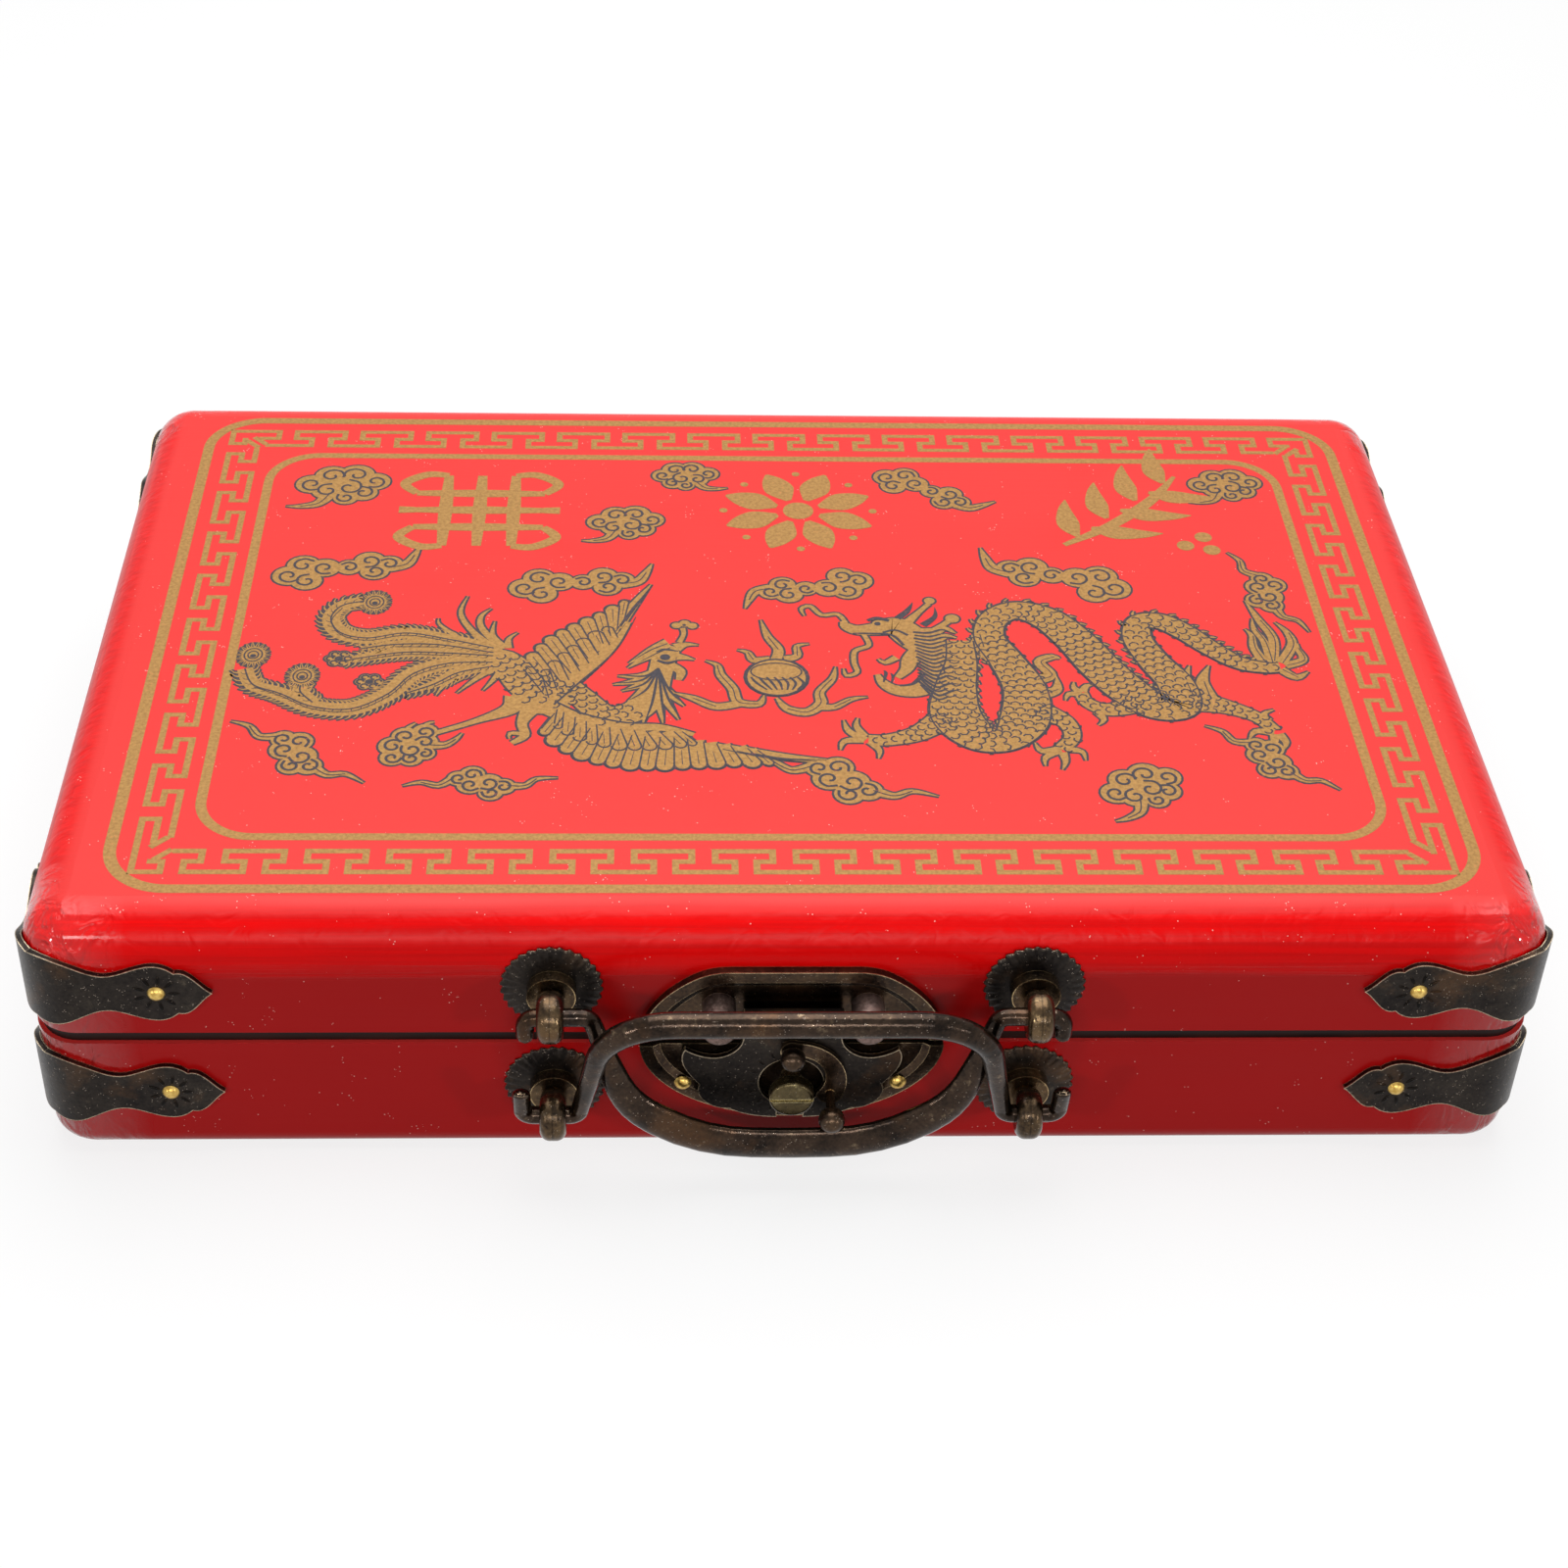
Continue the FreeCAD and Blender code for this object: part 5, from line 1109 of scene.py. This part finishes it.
# short punched marks fan out beside the hasp's hole, on the side that the crescent leaves free; they are near
# black as painted shade of punched hollows
def makeHaspMarks():
    studLow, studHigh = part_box("locking_stud")
    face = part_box("crescent_latch")[1].y + haspLook["behind"] * mm
    centre = Vector((0, face, (studLow.z + studHigh.z) / 2 + haspLook["up"] * mm))
    bm = bmesh.new()
    for k in range(haspLook["marks"]):
        share = k / (haspLook["marks"] - 1)
        angle = math.radians(haspLook["from"] + (haspLook["to"] - haspLook["from"]) * share)
        ahead = Vector((math.cos(angle), 0, math.sin(angle)))
        place = Matrix.Translation(centre + ahead * haspLook["reach"] * mm) @ Matrix.Rotation(-angle, 4, "Y")
        petal(bm, place, haspLook["length"], haspLook["rise"], haspLook["width"])
    addPiece("hasp_marks", meshFrom(bm, "hasp_marks"), [punchShade], "hasp")


makeHaspMarks()
print("metal reliefs made")


# sizes of the cloth's mesh cells and depths of its unevenness, in metres
softLook = {"feltCell": 0.014, "feltWave": 0.00008, "ribbonCell": 0.003, "ribbonWave": 0.00006}


# lining with a slightly uneven surface, cut from the node it stands for
def softCopy(name, source, material, cell, wander):
    bm = bmesh.new()
    bm.from_mesh(nodes[source].data)
    bmesh.ops.remove_doubles(bm, verts=bm.verts, dist=1e-6)
    for attempt in range(5):
        longEdges = [edge for edge in bm.edges if edge.calc_length() > cell]
        if not longEdges:
            break
        bmesh.ops.subdivide_edges(bm, edges=longEdges, cuts=1)
        bmesh.ops.triangulate(bm, faces=[face for face in bm.faces if len(face.verts) > 3])
    bm.normal_update()
    for vert in bm.verts:
        x, y, z = vert.co
        wave = math.sin(x * 210 + 1.3 * math.sin(y * 160)) * math.sin(y * 190 + z * 240)
        vert.co -= vert.normal * wander * (0.5 + 0.5 * wave)
    return addPiece(name, meshFrom(bm, name, False), [material], source.split("_")[0], (source,))


for half in ("base", "lid"):
    lining = softCopy(half + "_felt", half + "_felt_lining", felt, softLook["feltCell"],
                      softLook["feltWave"])
    silk = softCopy(half + "_ribbons", half + "_tray_ribbons", ribbonSilk, softLook["ribbonCell"],
                    softLook["ribbonWave"])
print("linings made")


lights = {
    "overhead": {"place": (0.0, 0.22, 0.80), "target": (0, 0.02, 0), "size": (0.8, 0.8), "power": 8.2},
    "front_strip": {"place": (-0.05, -0.80, 0.46), "target": (0, 0, 0.02), "size": (0.55, 0.10),
                    "power": 2.0},
    "right_key": {"place": (0.62, -0.62, 0.25), "target": (0, -0.09, 0.02), "size": (0.05, 0.05),
                  "power": 0.8},
    "left_key": {"place": (-0.62, -0.62, 0.25), "target": (0, -0.09, 0.02), "size": (0.05, 0.05),
                 "power": 0.75},
}
stageLook = {"floorHalf": 1.5, "floorGlow": 0.8, "softLight": 0.14}


def addLight(name, light):
    data = bpy.data.lights.new(name, "AREA")
    data.shape = "RECTANGLE"
    data.energy = light["power"]
    data.size, data.size_y = light["size"]
    lamp = bpy.data.objects.new(name, data)
    lamp.location = light["place"]
    lamp.rotation_euler = (Vector(light["target"]) - lamp.location).to_track_quat("-Z", "Y").to_euler()
    bpy.context.collection.objects.link(lamp)


def mixShaders(tree, factor, first, second):
    mixed = makeNode(tree, "MixShader")
    for socket, value in zip(mixed.inputs, (factor, first, second)):
        feed(tree, socket, value)
    return mixed.outputs[0]


# 1 for rays that show the background, 0 for those that only carry light
def seesBackground(tree):
    path = makeNode(tree, "LightPath").outputs
    seen = calc(tree, "MAXIMUM", path["Is Camera Ray"], path["Is Glossy Ray"])
    return calc(tree, "MAXIMUM", seen, path["Is Transmission Ray"])


# the floor looks nearly white but throws back light as a grey one
def makeFloor():
    bm = bmesh.new()
    bmesh.ops.create_grid(bm, x_segments=1, y_segments=1, size=stageLook["floorHalf"])
    floor = bpy.data.objects.new("floor", meshFrom(bm, "floor", False))
    bpy.context.collection.objects.link(floor)
    material, tree, shader = startMaterial("pale_floor", Base_Color=paint(252, 252, 252),
                                           Specular_IOR_Level=0.0, Roughness=0.9)
    glow = makeNode(tree, "Emission").outputs[0]
    pale = mixShaders(tree, stageLook["floorGlow"], shader.outputs[0], glow)
    grey = makeNode(tree, "BsdfDiffuse", Color=paint(120, 118, 118)).outputs[0]
    output = next(one for one in tree.nodes if one.type == "OUTPUT_MATERIAL")
    wire(tree, output, Surface=mixShaders(tree, seesBackground(tree), grey, pale))
    floor.data.materials.append(material)


def makeWorld():
    world = bpy.data.worlds.new("studio")
    bpy.context.scene.world = world
    world.use_nodes = True
    tree = world.node_tree
    tree.nodes.clear()
    soft = makeNode(tree, "Background", Strength=stageLook["softLight"]).outputs[0]
    white = makeNode(tree, "Background", Strength=1.0).outputs[0]
    makeNode(tree, "OutputWorld", Surface=mixShaders(tree, seesBackground(tree), soft, white))


makeFloor()
makeWorld()
for lightName, light in lights.items():
    addLight(lightName, light)

# angles in radians, place in millimetres
view = {"yaw": 0.058, "pitch": 0.670, "roll": 0.038, "place": (-21.94, -410.87, 340.03), "lens": 62.77,
        "sensor": 36}


def makeCamera():
    data = bpy.data.cameras.new("camera")
    data.sensor_width = view["sensor"]
    data.lens = view["lens"]
    camera = bpy.data.objects.new("camera", data)
    bpy.context.collection.objects.link(camera)
    yaw, pitch, roll = view["yaw"], view["pitch"], view["roll"]
    ahead = Vector((math.sin(yaw) * math.cos(pitch), math.cos(yaw) * math.cos(pitch), -math.sin(pitch)))
    right = Vector((math.cos(yaw), -math.sin(yaw), 0))
    up = right.cross(ahead)
    tiltedRight = right * math.cos(roll) + up * math.sin(roll)
    tiltedUp = up * math.cos(roll) - right * math.sin(roll)
    turn = Matrix((tiltedRight, tiltedUp, -ahead)).transposed().to_4x4()
    camera.matrix_world = Matrix.Translation(Vector(view["place"]) * mm) @ turn
    bpy.context.scene.camera = camera


makeCamera()
bpy.context.scene.view_settings.view_transform = "Standard"
print("stage set")
